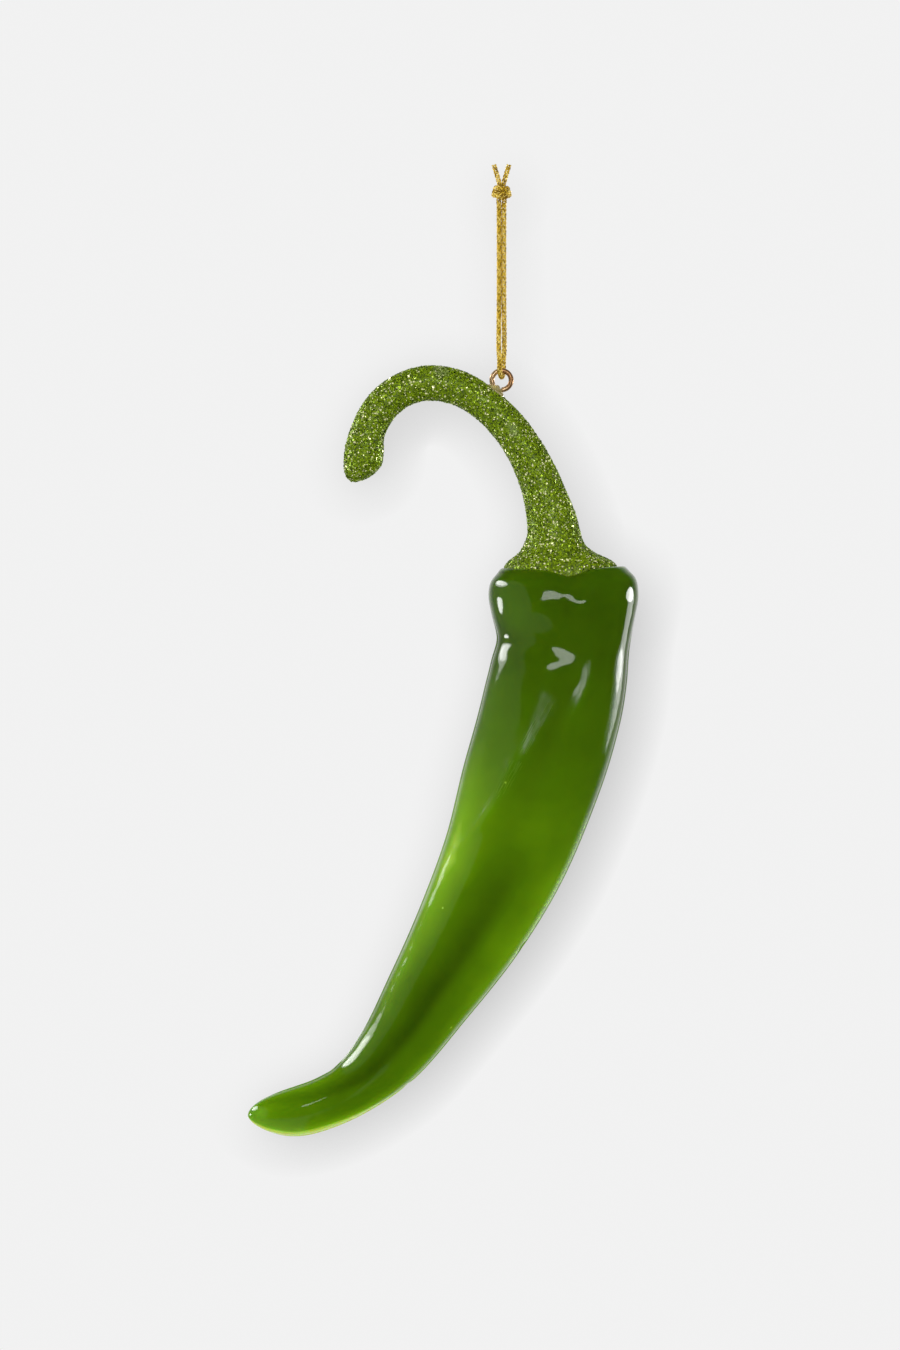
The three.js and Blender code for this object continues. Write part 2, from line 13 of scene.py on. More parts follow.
import bpy
import numpy as np
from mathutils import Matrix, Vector


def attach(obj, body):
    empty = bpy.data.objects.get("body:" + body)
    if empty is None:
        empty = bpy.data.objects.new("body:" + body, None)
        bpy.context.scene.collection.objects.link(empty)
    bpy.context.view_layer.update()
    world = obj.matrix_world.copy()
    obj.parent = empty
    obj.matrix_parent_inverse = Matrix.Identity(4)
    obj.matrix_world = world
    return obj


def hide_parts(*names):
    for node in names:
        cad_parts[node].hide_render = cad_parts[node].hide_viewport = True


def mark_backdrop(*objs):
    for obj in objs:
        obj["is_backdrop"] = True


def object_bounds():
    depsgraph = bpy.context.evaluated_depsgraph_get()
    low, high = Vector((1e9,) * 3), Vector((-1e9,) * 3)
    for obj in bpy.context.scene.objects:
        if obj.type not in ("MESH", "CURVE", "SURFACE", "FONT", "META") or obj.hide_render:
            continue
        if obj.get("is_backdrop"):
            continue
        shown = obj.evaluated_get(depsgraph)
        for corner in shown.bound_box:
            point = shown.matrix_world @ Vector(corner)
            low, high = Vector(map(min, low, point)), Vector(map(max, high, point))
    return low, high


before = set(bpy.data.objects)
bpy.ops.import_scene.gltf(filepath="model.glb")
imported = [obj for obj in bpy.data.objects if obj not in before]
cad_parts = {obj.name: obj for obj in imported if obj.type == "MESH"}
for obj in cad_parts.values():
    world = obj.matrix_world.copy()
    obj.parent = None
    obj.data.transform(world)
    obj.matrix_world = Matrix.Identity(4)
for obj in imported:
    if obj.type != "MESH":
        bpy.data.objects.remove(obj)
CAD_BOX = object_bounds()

MM = 0.001
FRONT = np.array([0.0, -1.0, 0.0])
BAKE_MAP = "OFBake"

# Shared by the eye and the cord: how far the middle of the eye's ring hangs under the origin
LOOP_DROP = 35.5
SEAT_GAP = 0.3

logging.basicConfig(level=logging.INFO, format="%(message)s")
log = logging.getLogger("ornament")

Colour = tuple[float, float, float]
Grid = np.ndarray
Piece = bpy.types.Object
Socket = bpy.types.NodeSocket


class Body(Enum):
    """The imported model's bodies that new pieces ride on."""

    CORD = "cord"
    ORNAMENT = "ornament"


class Slot(Enum):
    """The record's material slots."""

    RESIN = "green_resin"
    GLITTER = "green_glitter"
    STEEL = "steel"
    BRASS = "brass"
    GLUE = "glue"
    CORD = "metallic_cord"


# Curves and meshes


def catmull_rom(points: Grid, steps: int) -> Grid:
    """A centripetal curve through points.

    Args:
        points: The points to pass, one in each row.
        steps: The samples in each stretch between two points.

    Returns:
        The samples, with both ends.
    """
    ends = np.vstack([2 * points[0] - points[1], points, 2 * points[-1] - points[-2]])
    t = np.linspace(0, 1, steps, endpoint=False)[:, None]
    out = []
    for i in range(len(points) - 1):
        p0, p1, p2, p3 = ends[i : i + 4]
        before, span, after = (np.sqrt(np.linalg.norm(b - a)) for a, b in ((p0, p1), (p1, p2), (p2, p3)))
        start = span * ((p1 - p0) / before - (p2 - p0) / (before + span) + (p2 - p1) / span)
        end = span * ((p2 - p1) / span - (p3 - p1) / (span + after) + (p3 - p2) / after)
        square = 3 * (p2 - p1) - 2 * start - end
        cube = 2 * (p1 - p2) + start + end
        out.append(p1 + start * t + square * t**2 + cube * t**3)
    return np.vstack([*out, points[-1:]])


def bell(value: Grid, middle: float | Grid, spread: float | Grid) -> Grid:
    """A smooth hump of height 1 round a middle."""
    return np.exp(-(((value - middle) / spread) ** 2))


def eased(value: Grid, start: float, end: float) -> Grid:
    """A smooth rise from 0 at the start to 1 at the end."""
    t = np.clip((value - start) / (end - start), 0, 1)
    return t * t * (3 - 2 * t)


def turned(angle: Grid, middle: float | Grid) -> Grid:
    """Degrees from a middle to an angle, the short way round."""
    return (angle - middle + 180) % 360 - 180


class Spine:
    """A spine through points of the X-Z plane, with a width that changes along it."""

    def __init__(self, points: list[tuple[float, float]], widths: list[tuple[float, float]]) -> None:
        """Samples the spine.

        Args:
            points: x and z of each point.
            widths: Share of the spine's length, and the width there.
        """
        flat = np.array(points, float)
        self.samples = catmull_rom(np.stack([flat[:, 0], np.zeros(len(flat)), flat[:, 1]], 1), 200)
        lengths = np.linalg.norm(np.diff(self.samples, axis=0), axis=1)
        self.at = np.concatenate([[0], np.cumsum(lengths)])
        self.length = float(self.at[-1])
        self.stations = np.array(widths, float) * [self.length, 1]

    def width_at(self, distance: Grid) -> Grid:
        """The width by a smooth curve through the stations."""
        at, width = self.stations.T
        last = len(at) - 1
        d = np.clip(distance, at[0], at[-1])
        i = np.clip(np.searchsorted(at, d, side="left") - 1, 0, last - 1)
        low, high = np.maximum(np.arange(last + 1) - 1, 0), np.minimum(np.arange(last + 1) + 1, last)
        slope = (width[high] - width[low]) / (at[high] - at[low])
        span = at[i + 1] - at[i]
        t = (d - at[i]) / span
        level = width[i] + (width[i + 1] - width[i]) * t * t * (3 - 2 * t)
        return level + span * (slope[i] * t * (1 - t) ** 2 - slope[i + 1] * t * t * (1 - t))

    def frame_at(self, distance: Grid) -> tuple[Grid, Grid]:
        """The spine's point and direction across, straight on past either end.

        Args:
            distance: Distances along the spine, in an array of any shape.

        Returns:
            Two arrays of vectors of that shape.
        """
        d = np.clip(distance, 0, self.length)
        reach = self.length / 2000
        point, before, after = (
            np.stack([np.interp(x, self.at, self.samples[:, k]) for k in range(3)], -1)
            for x in (d, np.maximum(d - reach, 0), np.minimum(d + reach, self.length))
        )
        along = after - before
        along /= np.linalg.norm(along, axis=-1, keepdims=True)
        point = point + along * (distance - d)[..., None]
        across = np.stack([-along[..., 2], np.zeros_like(d), along[..., 0]], -1)
        return point, across


def ring_quads(rings: int, sides: int) -> Grid:
    """The corners of the faces between closed rings of points."""
    i, j = np.meshgrid(np.arange(rings - 1), np.arange(sides), indexing="ij")
    k = (j + 1) % sides
    return np.stack([i * sides + j, i * sides + k, (i + 1) * sides + k, (i + 1) * sides + j], -1).reshape(-1, 4)


@dataclass
class Skin:
    """A closed grid of points: rings one after another, each closed, with both ends fanned to their middles."""

    grid: Grid

    def normals(self) -> Grid:
        """The outward direction at each point of the grid."""
        down = np.gradient(self.grid, axis=0)
        wrapped = np.concatenate([self.grid[:, -1:], self.grid, self.grid[:, :1]], 1)
        round_it = (wrapped[:, 2:] - wrapped[:, :-2]) / 2
        normal = np.cross(round_it, down)
        return normal / np.maximum(np.linalg.norm(normal, axis=-1, keepdims=True), 1e-9)

    def piece(self, name: str) -> Piece:
        """The smooth mesh of the skin, under a name, with its bake map."""
        rings, sides = self.grid.shape[:2]
        quads = ring_quads(rings, sides)
        side = np.arange(sides)
        after = (side + 1) % sides
        base, first_middle = (rings - 1) * sides, rings * sides
        first_fan = np.stack([np.full(sides, first_middle), after, side], 1)
        last_fan = np.stack([np.full(sides, first_middle + 1), base + side, base + after], 1)
        points = np.vstack([self.grid.reshape(-1, 3), self.grid[0].mean(0), self.grid[-1].mean(0)])
        obj = mesh_piece(name, points, [*quads.tolist(), *first_fan.tolist(), *last_fan.tolist()], True)
        steps = np.linalg.norm(np.diff(self.grid, axis=0), axis=-1).mean(1)
        share = np.concatenate([[0], np.cumsum(steps)]) / steps.sum()
        i, j = np.divmod(quads[:, 0], sides)
        low, high = j / sides, (j + 1) / sides
        top, bottom = share[i], share[i + 1]
        quad_map = np.stack([low, top, high, top, high, bottom, low, bottom], -1).reshape(-1, 2)
        fan_map = []
        for tip, edge in ((0.0, 0.002), (1.0, 0.998)):
            a, b = side / sides, (side + 1) / sides
            ends = (b, a) if tip == 0.0 else (a, b)
            fan_map.append(np.stack([(a + b) / 2, np.full(sides, tip), ends[0], np.full(sides, edge),
                                     ends[1], np.full(sides, edge)], -1).reshape(-1, 2))
        layer = obj.data.uv_layers.new(name=BAKE_MAP)
        layer.uv.foreach_set("vector", np.vstack([quad_map, *fan_map]).astype(np.float32).ravel())
        return obj

    def store(self, piece: Piece, name: str, values: Grid) -> None:
        """Keeps a number or a vector at each point of the piece.

        Args:
            piece: The piece that this skin made.
            name: The name that its material reads.
            values: One value for each point of the grid.
        """
        flat = values.reshape(self.grid.shape[0] * self.grid.shape[1], -1)
        full = np.vstack([flat, flat[:1], flat[-1:]]).astype(np.float32)
        kind, field_name = ("FLOAT", "value") if full.shape[1] == 1 else ("FLOAT_VECTOR", "vector")
        piece.data.attributes.new(name, kind, "POINT").data.foreach_set(field_name, full.ravel())


def mesh_piece(name: str, points: Grid, faces: list[list[int]], smooth: bool) -> Piece:
    """A mesh object from points in millimetres.

    Args:
        name: The piece's name.
        points: One point in each row.
        faces: The corners of each face.
        smooth: Whether the faces are shaded smooth.

    Returns:
        The new object, linked to the scene.
    """
    mesh = bpy.data.meshes.new(name)
    mesh.from_pydata((points * MM).tolist(), [], faces)
    mesh.polygons.foreach_set("use_smooth", [smooth] * len(mesh.polygons))
    mesh.validate()
    obj = bpy.data.objects.new(name, mesh)
    bpy.context.scene.collection.objects.link(obj)
    return obj


def transport(path: Grid, start: Grid) -> tuple[Grid, Grid]:
    """Frames along a path that turn no more than it does.

    Args:
        path: The path's points.
        start: A direction that the first side vector leans to.

    Returns:
        Two side vectors at each point.
    """
    along = np.gradient(path, axis=0)
    along /= np.linalg.norm(along, axis=1, keepdims=True)
    side = start - along[0] * (start @ along[0])
    sides = [side / np.linalg.norm(side)]
    for ahead in along[1:]:
        side = sides[-1] - ahead * (sides[-1] @ ahead)
        sides.append(side / np.linalg.norm(side))
    one = np.array(sides)
    return one, np.cross(along, one)


def evenly(path: Grid, step: float) -> Grid:
    """The path again, with points about a step apart."""
    at = np.concatenate([[0], np.cumsum(np.linalg.norm(np.diff(path, axis=0), axis=1))])
    wanted = np.linspace(0, at[-1], max(2, round(at[-1] / step) + 1))
    return np.stack([np.interp(wanted, at, path[:, k]) for k in range(3)], 1)


def tube_grid(path: Grid, wide: Grid, thick: Grid, one: Grid, two: Grid, sides: int) -> Grid:
    """Rings of an oval section along a path.

    Args:
        path: The middle of each ring.
        wide: Half of the section's width along the first side vector, at each ring.
        thick: Half of its thickness along the second.
        one: The first side vectors.
        two: The second side vectors.
        sides: The points of a ring.

    Returns:
        The grid of points.
    """
    turn = 2 * np.pi * np.arange(sides) / sides
    across = wide[:, None, None] * np.cos(turn)[None, :, None] * one[:, None]
    up = thick[:, None, None] * np.sin(turn)[None, :, None] * two[:, None]
    return path[:, None] + across + up


# Node trees


class Nodes:
    """A node tree under construction, with short ways to add and join its nodes."""

    def __init__(self, tree: bpy.types.NodeTree, output: str) -> None:
        """Empties the tree and gives it its output node."""
        self.tree = tree
        self.tree.nodes.clear()
        self.output = self.tree.nodes.new(output)

    def node(self, kind: str, inputs: dict | None = None, **settings) -> bpy.types.Node:
        """A new node.

        Args:
            kind: The node's type without its ShaderNode prefix.
            inputs: A number, a colour or a socket for each input by name.
            settings: The node's own properties.

        Returns:
            The node.
        """
        made = self.tree.nodes.new("ShaderNode" + kind)
        for key, value in settings.items():
            setattr(made, key, value)
        for key, value in (inputs or {}).items():
            self.put(made.inputs[key], value)
        return made

    def put(self, socket: Socket, value) -> None:
        """Links a socket to the input, or sets a number or a colour on it."""
        if isinstance(value, Socket):
            self.tree.links.new(value, socket)
        elif isinstance(value, tuple) and len(value) == 3 and socket.type == "RGBA":
            socket.default_value = (*value, 1.0)
        else:
            socket.default_value = value

    def maths(self, operation: str, first, second=0.0, clamp: bool = False) -> Socket:
        """The result of a sum on two numbers or sockets."""
        return self.node("Math", {0: first, 1: second}, operation=operation, use_clamp=clamp).outputs[0]

    def noise(self, place: Socket, scale: float, detail: float = 2.0) -> Socket:
        """Plain noise at a place."""
        return self.node("TexNoise", {"Vector": place, "Scale": scale, "Detail": detail}).outputs["Fac"]

    def ramp(self, factor: Socket, stops: list[tuple[float, Colour]]) -> Socket:
        """A colour that changes with a number.

        Args:
            factor: The number's socket.
            stops: Where each colour stands, and the colour.

        Returns:
            The colour's socket.
        """
        made = self.node("ValToRGB", {"Fac": factor})
        points = made.color_ramp.elements
        points[0].position, points[1].position = stops[0][0], stops[-1][0]
        for place, _ in stops[1:-1]:
            points.new(place)
        for point, (_, colour) in zip(points, stops):
            point.color = (*colour, 1.0)
        return made.outputs["Color"]

    def between(self, value, low: float, high: float, start=0.0, end=1.0) -> Socket:
        """A number carried smoothly from one span to another."""
        inputs = {"Value": value, "From Min": low, "From Max": high, "To Min": start, "To Max": end}
        return self.node("MapRange", inputs, interpolation_type="SMOOTHSTEP").outputs["Result"]

    def mixed(self, factor, first, second) -> Socket:
        """A mix of two colours."""
        made = self.node("Mix", data_type="RGBA")
        self.put(made.inputs[0], factor)
        self.put(made.inputs[6], first)
        self.put(made.inputs[7], second)
        return made.outputs[2]

    def bump(self, height, strength: float, distance: float) -> Socket:
        """A normal that follows a height, which the distance gives in metres."""
        inputs = {"Height": height, "Strength": strength, "Distance": distance}
        return self.node("Bump", inputs).outputs["Normal"]

    def place(self) -> Socket:
        """The place in the piece's own space, in metres."""
        return self.node("TexCoord").outputs["Object"]

    def stored(self, name: str, output: str = "Fac") -> Socket:
        """A value that the piece's mesh holds at its points."""
        return self.node("Attribute", attribute_name=name).outputs[output]

    def scaled(self, vector: Socket, scales: tuple[float, float, float]) -> Socket:
        """A place, scaled along each axis."""
        return self.node("VectorMath", {0: vector, 1: scales}, operation="MULTIPLY").outputs["Vector"]

    def cells(self, place: Socket, scale: float) -> bpy.types.Node:
        """The pattern of cells round scattered points."""
        return self.node("TexVoronoi", {"Vector": place, "Scale": scale})


class Shader(Nodes):
    """A material under construction."""

    def __init__(self, name: str) -> None:
        """Starts an empty material with its output."""
        self.material = bpy.data.materials.new(name)
        self.material.use_nodes = True
        super().__init__(self.material.node_tree, "ShaderNodeOutputMaterial")

    def finish(self, surface: Socket) -> bpy.types.Material:
        """Joins the surface to the output."""
        self.tree.links.new(surface, self.output.inputs["Surface"])
        return self.material

    def coated(self, inputs: dict) -> bpy.types.Material:
        """Finishes with a principled surface of these inputs."""
        return self.finish(self.node("BsdfPrincipled", inputs).outputs[0])


# Finishes


class Finish(Protocol):
    """Any finish, which builds its own material."""

    def material(self) -> bpy.types.Material:
        """Builds the finish."""


@dataclass(frozen=True)
class ResinFinish:
    """Cloudy green cast resin with a high gloss. Its colour is painted deeper in the thick middle and limier at the
    thin sides and tip, as painted shade and light for light that passes through the resin.

    The mesh holds a tone from 0 to 1 that carries this painted light and shade, how much the skin is scuffed, and
    where it
    is scratched: degrees across the rubbed ridge and millimetres along it, both in tens, with the strength as the
    third number.
    """

    deep: Colour = (0.04, 0.09, 0.0)
    green: Colour = (0.108, 0.24, 0.001)
    lime: Colour = (0.25, 0.5, 0.004)
    # thin, the near-white top of the ramp, is reached where the painted light and rim light lift the tone
    thin: Colour = (0.7, 1.0, 0.12)
    bubble: Colour = (0.5, 0.75, 0.1)
    depth_colour: Colour = (0.8, 0.82, 0.0)
    depth_strength: float = 230.0
    clearness: float = 0.3
    ior: float = 1.5
    scatter_radius: float = 0.009

    def material(self) -> bpy.types.Material:
        """Builds the finish."""
        s = Shader(Slot.RESIN.value)
        place = s.place()
        rubbed = s.stored("rubbed", "Vector")
        strength = s.node("SeparateXYZ", {0: rubbed}).outputs["Z"]
        clouds = s.maths("MULTIPLY", s.maths("SUBTRACT", s.noise(place, 70.0, 3.0), 0.5), 0.35)
        tone = s.maths("ADD", s.stored("tone"), clouds, clamp=True)
        # The stored tone paints light and shade into the base colour: dark in the thick middle, limier and paler at
        # the sides, the lower edge and the tip.
        body = s.ramp(tone, [(0.0, self.deep), (0.5, self.green), (0.85, self.lime), (1.0, self.thin)])
        spots = s.cells(place, 240.0)
        small = s.between(spots.outputs["Distance"], 0.03, 0.075, 1.0, 0.0)
        few = s.between(s.noise(place, 90.0), 0.6, 0.64)
        colour = s.mixed(s.maths("MULTIPLY", small, few), body, self.bubble)
        grain = s.noise(s.scaled(rubbed, (26.0, 1.6, 0.0)), 1.0, 5.0)
        hairs = s.maths("MULTIPLY", s.between(grain, 0.47, 0.66), strength)
        dots = s.maths("MULTIPLY", s.between(s.noise(place, 2600.0, 1.0), 0.5, 0.6), s.stored("scuffed"))
        marks = s.maths("MULTIPLY", s.maths("ADD", hairs, dots), 0.16)
        peel = s.maths("MULTIPLY", s.noise(place, 240.0, 1.0), 0.5)
        normal = s.bump(s.maths("ADD", peel, marks), 0.25, 0.0006)
        depth = s.node("VolumeAbsorption", {"Color": self.depth_colour, "Density": self.depth_strength})
        s.tree.links.new(depth.outputs[0], s.output.inputs["Volume"])
        return s.coated({
            "Base Color": colour,
            "Roughness": s.maths("ADD", s.maths("MULTIPLY", hairs, 0.2), s.between(strength, 0.0, 1.0, 0.07, 0.16)),
            "IOR": self.ior,
            "Transmission Weight": self.clearness,
            "Subsurface Weight": 1.0,
            "Subsurface Radius": (0.55, 1.0, 0.05),
            "Subsurface Scale": self.scatter_radius,
            "Normal": normal,
        })


@dataclass(frozen=True)
class CoreFinish:
    """The stem's painted core and the dried glue between the flakes."""

    dark: Colour = (0.09, 0.15, 0.002)
    light: Colour = (0.18, 0.28, 0.01)

    def material(self) -> bpy.types.Material:
        """Builds the finish."""
        s = Shader("stem_core")
        place = s.place()
        grains = s.cells(place, 5200.0)
        own = s.node("SeparateColor", {0: grains.outputs["Color"]}).outputs[0]
        return s.coated({
            "Base Color": s.ramp(own, [(0.1, self.dark), (0.9, self.light)]),
            "Metallic": 0.3,
            "Roughness": s.between(own, 0.2, 0.9, 0.5, 0.25),
            "Normal": s.bump(own, 0.5, 0.0001),
        })


@dataclass(frozen=True)
class GlitterFinish:
    """Metallised lime green flakes, each with its own tone, under patches of thicker glue; a few near-white flakes
    are painted glints.
    """

    dark: Colour = (0.02, 0.04, 0.0)
    green: Colour = (0.14, 0.23, 0.001)
    lime: Colour = (0.3, 0.45, 0.01)
    # pale: the near-white colour of a few flakes, which are painted glints
    pale: Colour = (1.0, 1.0, 0.55)
    haze: Colour = (0.34, 0.42, 0.18)

    def material(self) -> bpy.types.Material:
        """Builds the finish."""
        s = Shader(Slot.GLITTER.value)
        own = s.node("NewGeometry").outputs["Random Per Island"]
        # The top of the ramp gives a few flakes the pale colour, as painted glints.
        stops = [(0.0, self.dark), (0.25, self.green), (0.75, self.lime), (0.9, self.lime), (0.93, self.pale)]
        tone = s.ramp(own, stops)
        patches = s.between(s.noise(s.place(), 120.0, 2.0), 0.6, 0.7, 0.0, 0.45)
        return s.coated({
            "Base Color": s.mixed(patches, tone, self.haze),
            "Metallic": 0.3,
            "Roughness": s.between(own, 0.0, 1.0, 0.34, 0.16),
            "Specular IOR Level": 0.2,
        })


@dataclass(frozen=True)
class BrassFinish:
    """Gilt wire, bright where it is rubbed and brown where it has tarnished."""

    bright: Colour = (0.8, 0.55, 0.3)
    tarnish: Colour = (0.42, 0.22, 0.09)

    def material(self) -> bpy.types.Material:
        """Builds the finish."""
        s = Shader(Slot.BRASS.value)
        place = s.place()
        worn = s.noise(place, 300.0, 2.0)
        return s.coated({
            "Base Color": s.ramp(worn, [(0.38, self.tarnish), (0.62, self.bright)]),
            "Metallic": 0.75,
            "Roughness": s.between(worn, 0.3, 0.7, 0.34, 0.2),
            "Normal": s.bump(s.noise(place, 2400.0), 0.08, 0.0001),
        })


@dataclass(frozen=True)
class SteelFinish:
    """Plain drawn wire."""

    bright: Colour = (0.55, 0.55, 0.56)
    dull: Colour = (0.32, 0.32, 0.33)

    def material(self) -> bpy.types.Material:
        """Builds the finish."""
        s = Shader(Slot.STEEL.value)
        drawn = s.noise(s.place(), 1500.0, 2.0)
        return s.coated({
            "Base Color": s.ramp(drawn, [(0.3, self.dull), (0.7, self.bright)]),
            "Metallic": 1.0,
            "Roughness": s.between(drawn, 0.3, 0.7, 0.3, 0.45),
        })


@dataclass(frozen=True)
class GlueFinish:
    """Dried amber glue, half clear."""

    thin: Colour = (0.5, 0.44, 0.16)
    thick: Colour = (0.27, 0.23, 0.06)

    def material(self) -> bpy.types.Material:
        """Builds the finish."""
        s = Shader(Slot.GLUE.value)
        place = s.place()
        return s.coated({
            "Base Color": s.ramp(s.noise(place, 700.0, 2.0), [(0.35, self.thick), (0.65, self.thin)]),
            "Roughness": 0.22,
            "Transmission Weight": 0.35,
            "Normal": s.bump(s.noise(place, 1600.0), 0.3, 0.0002),
        })


@dataclass(frozen=True)
class CordFinish:
    """Gold metallised yarn, browner where it is rubbed."""

    bright: Colour = (1.0, 0.78, 0.2)
    gold: Colour = (0.76, 0.5, 0.02)
    brown: Colour = (0.24, 0.13, 0.005)

    def material(self) -> bpy.types.Material:
        """Builds the finish."""
        s = Shader(Slot.CORD.value)
        place = s.place()
        threads = s.noise(place, 5200.0, 2.0)
        worn = s.noise(place, 210.0, 2.0)
        own = s.node("NewGeometry").outputs["Random Per Island"]
        mixed = s.maths("ADD", s.maths("MULTIPLY", threads, 0.5), s.maths("MULTIPLY", own, 0.5))
        tone = s.ramp(mixed, [(0.25, self.brown), (0.48, self.gold), (0.72, self.bright)])
        return s.coated({
            "Base Color": s.mixed(s.between(worn, 0.55, 0.75, 0.0, 0.5), tone, self.brown),
            "Metallic": 0.3,
            "Roughness": 0.3,
            "Specular IOR Level": 0.25,
            "Normal": s.bump(threads, 0.5, 0.0001),
        })


@dataclass(frozen=True)
class FloorFinish:
    """Pale paper that fades out towards its edges, and shows the camera the colour of the room behind it."""

    colour: Colour = (0.8, 0.8, 0.8)
    fibre: Colour = (0.77, 0.77, 0.77)
    glow: float = 0.25
    fade_start: float = 0.3
    fade_end: float = 0.58

    def material(self) -> bpy.types.Material:
        """Builds the finish."""
        s = Shader("floor_paper")
        place = s.place()
        far = s.node("VectorMath", {0: place}, operation="LENGTH").outputs["Value"]
        paper = s.node("BsdfPrincipled", {
            "Base Color": s.mixed(s.between(s.noise(place, 400.0, 2.0), 0.3, 0.7), self.colour, self.fibre),
            "Roughness": 0.9,
            "Specular IOR Level": 0.1,
            "Emission Color": (1.0, 1.0, 1.0),
            "Emission Strength": s.maths("MULTIPLY", s.node("LightPath").outputs["Is Camera Ray"], self.glow),
        })
        gone = s.between(far, self.fade_start, self.fade_end)
        clear = s.node("BsdfTransparent")
        surface = s.node("MixShader", {0: gone, 1: paper.outputs[0], 2: clear.outputs[0]})
        return s.finish(surface.outputs[0])


@dataclass(frozen=True)
class ShadeFinish:
    """A clear sheet that darkens where something stands close in front of it, and not seen from behind."""

    reach: float = 0.0105
    lean: tuple[float, float, float] = (-0.35, -0.85, 0.35)
    share: float = 0.42

    def material(self) -> bpy.types.Material:
        """Builds the finish."""
        s = Shader("shade")
        x, y, z = self.lean
        towards = s.node("CombineXYZ", {"X": x, "Y": y, "Z": z}).outputs[0]
        open_sky = s.node("AmbientOcclusion", {"Distance": self.reach, "Normal": towards}, samples=12).outputs["AO"]
        front = s.maths("SUBTRACT", 1.0, s.node("NewGeometry").outputs["Backfacing"])
        shade = s.maths("MULTIPLY", s.maths("SUBTRACT", 1.0, open_sky), s.maths("MULTIPLY", front, self.share))
        surface = s.node("BsdfTransparent", {"Color": s.mixed(shade, (1.0, 1.0, 1.0), (0.0, 0.0, 0.0))})
        return s.finish(surface.outputs[0])


def dress(piece: Piece, finish: Finish, body: Body) -> None:
    """Gives a new piece its finish and the body that it rides on."""
    piece.data.materials.clear()
    piece.data.materials.append(finish.material())
    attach(piece, body.value)
    log.info("piece %s: %d faces, rides on %s", piece.name, len(piece.data.polygons), body.value)


# The chilli


@dataclass(frozen=True)
class SkinForm:
    """One swelling or dent of the chilli's skin.

    at and along are millimetres down the spine, angle and around are degrees round it, drift is degrees for each
    millimetre down, and lift is millimetres. tail is how many times longer it runs out below than above.
    """

    name: str
    at: float
    along: float
    angle: float
    around: float
    drift: float
    lift: float
    tail: float = 1.0


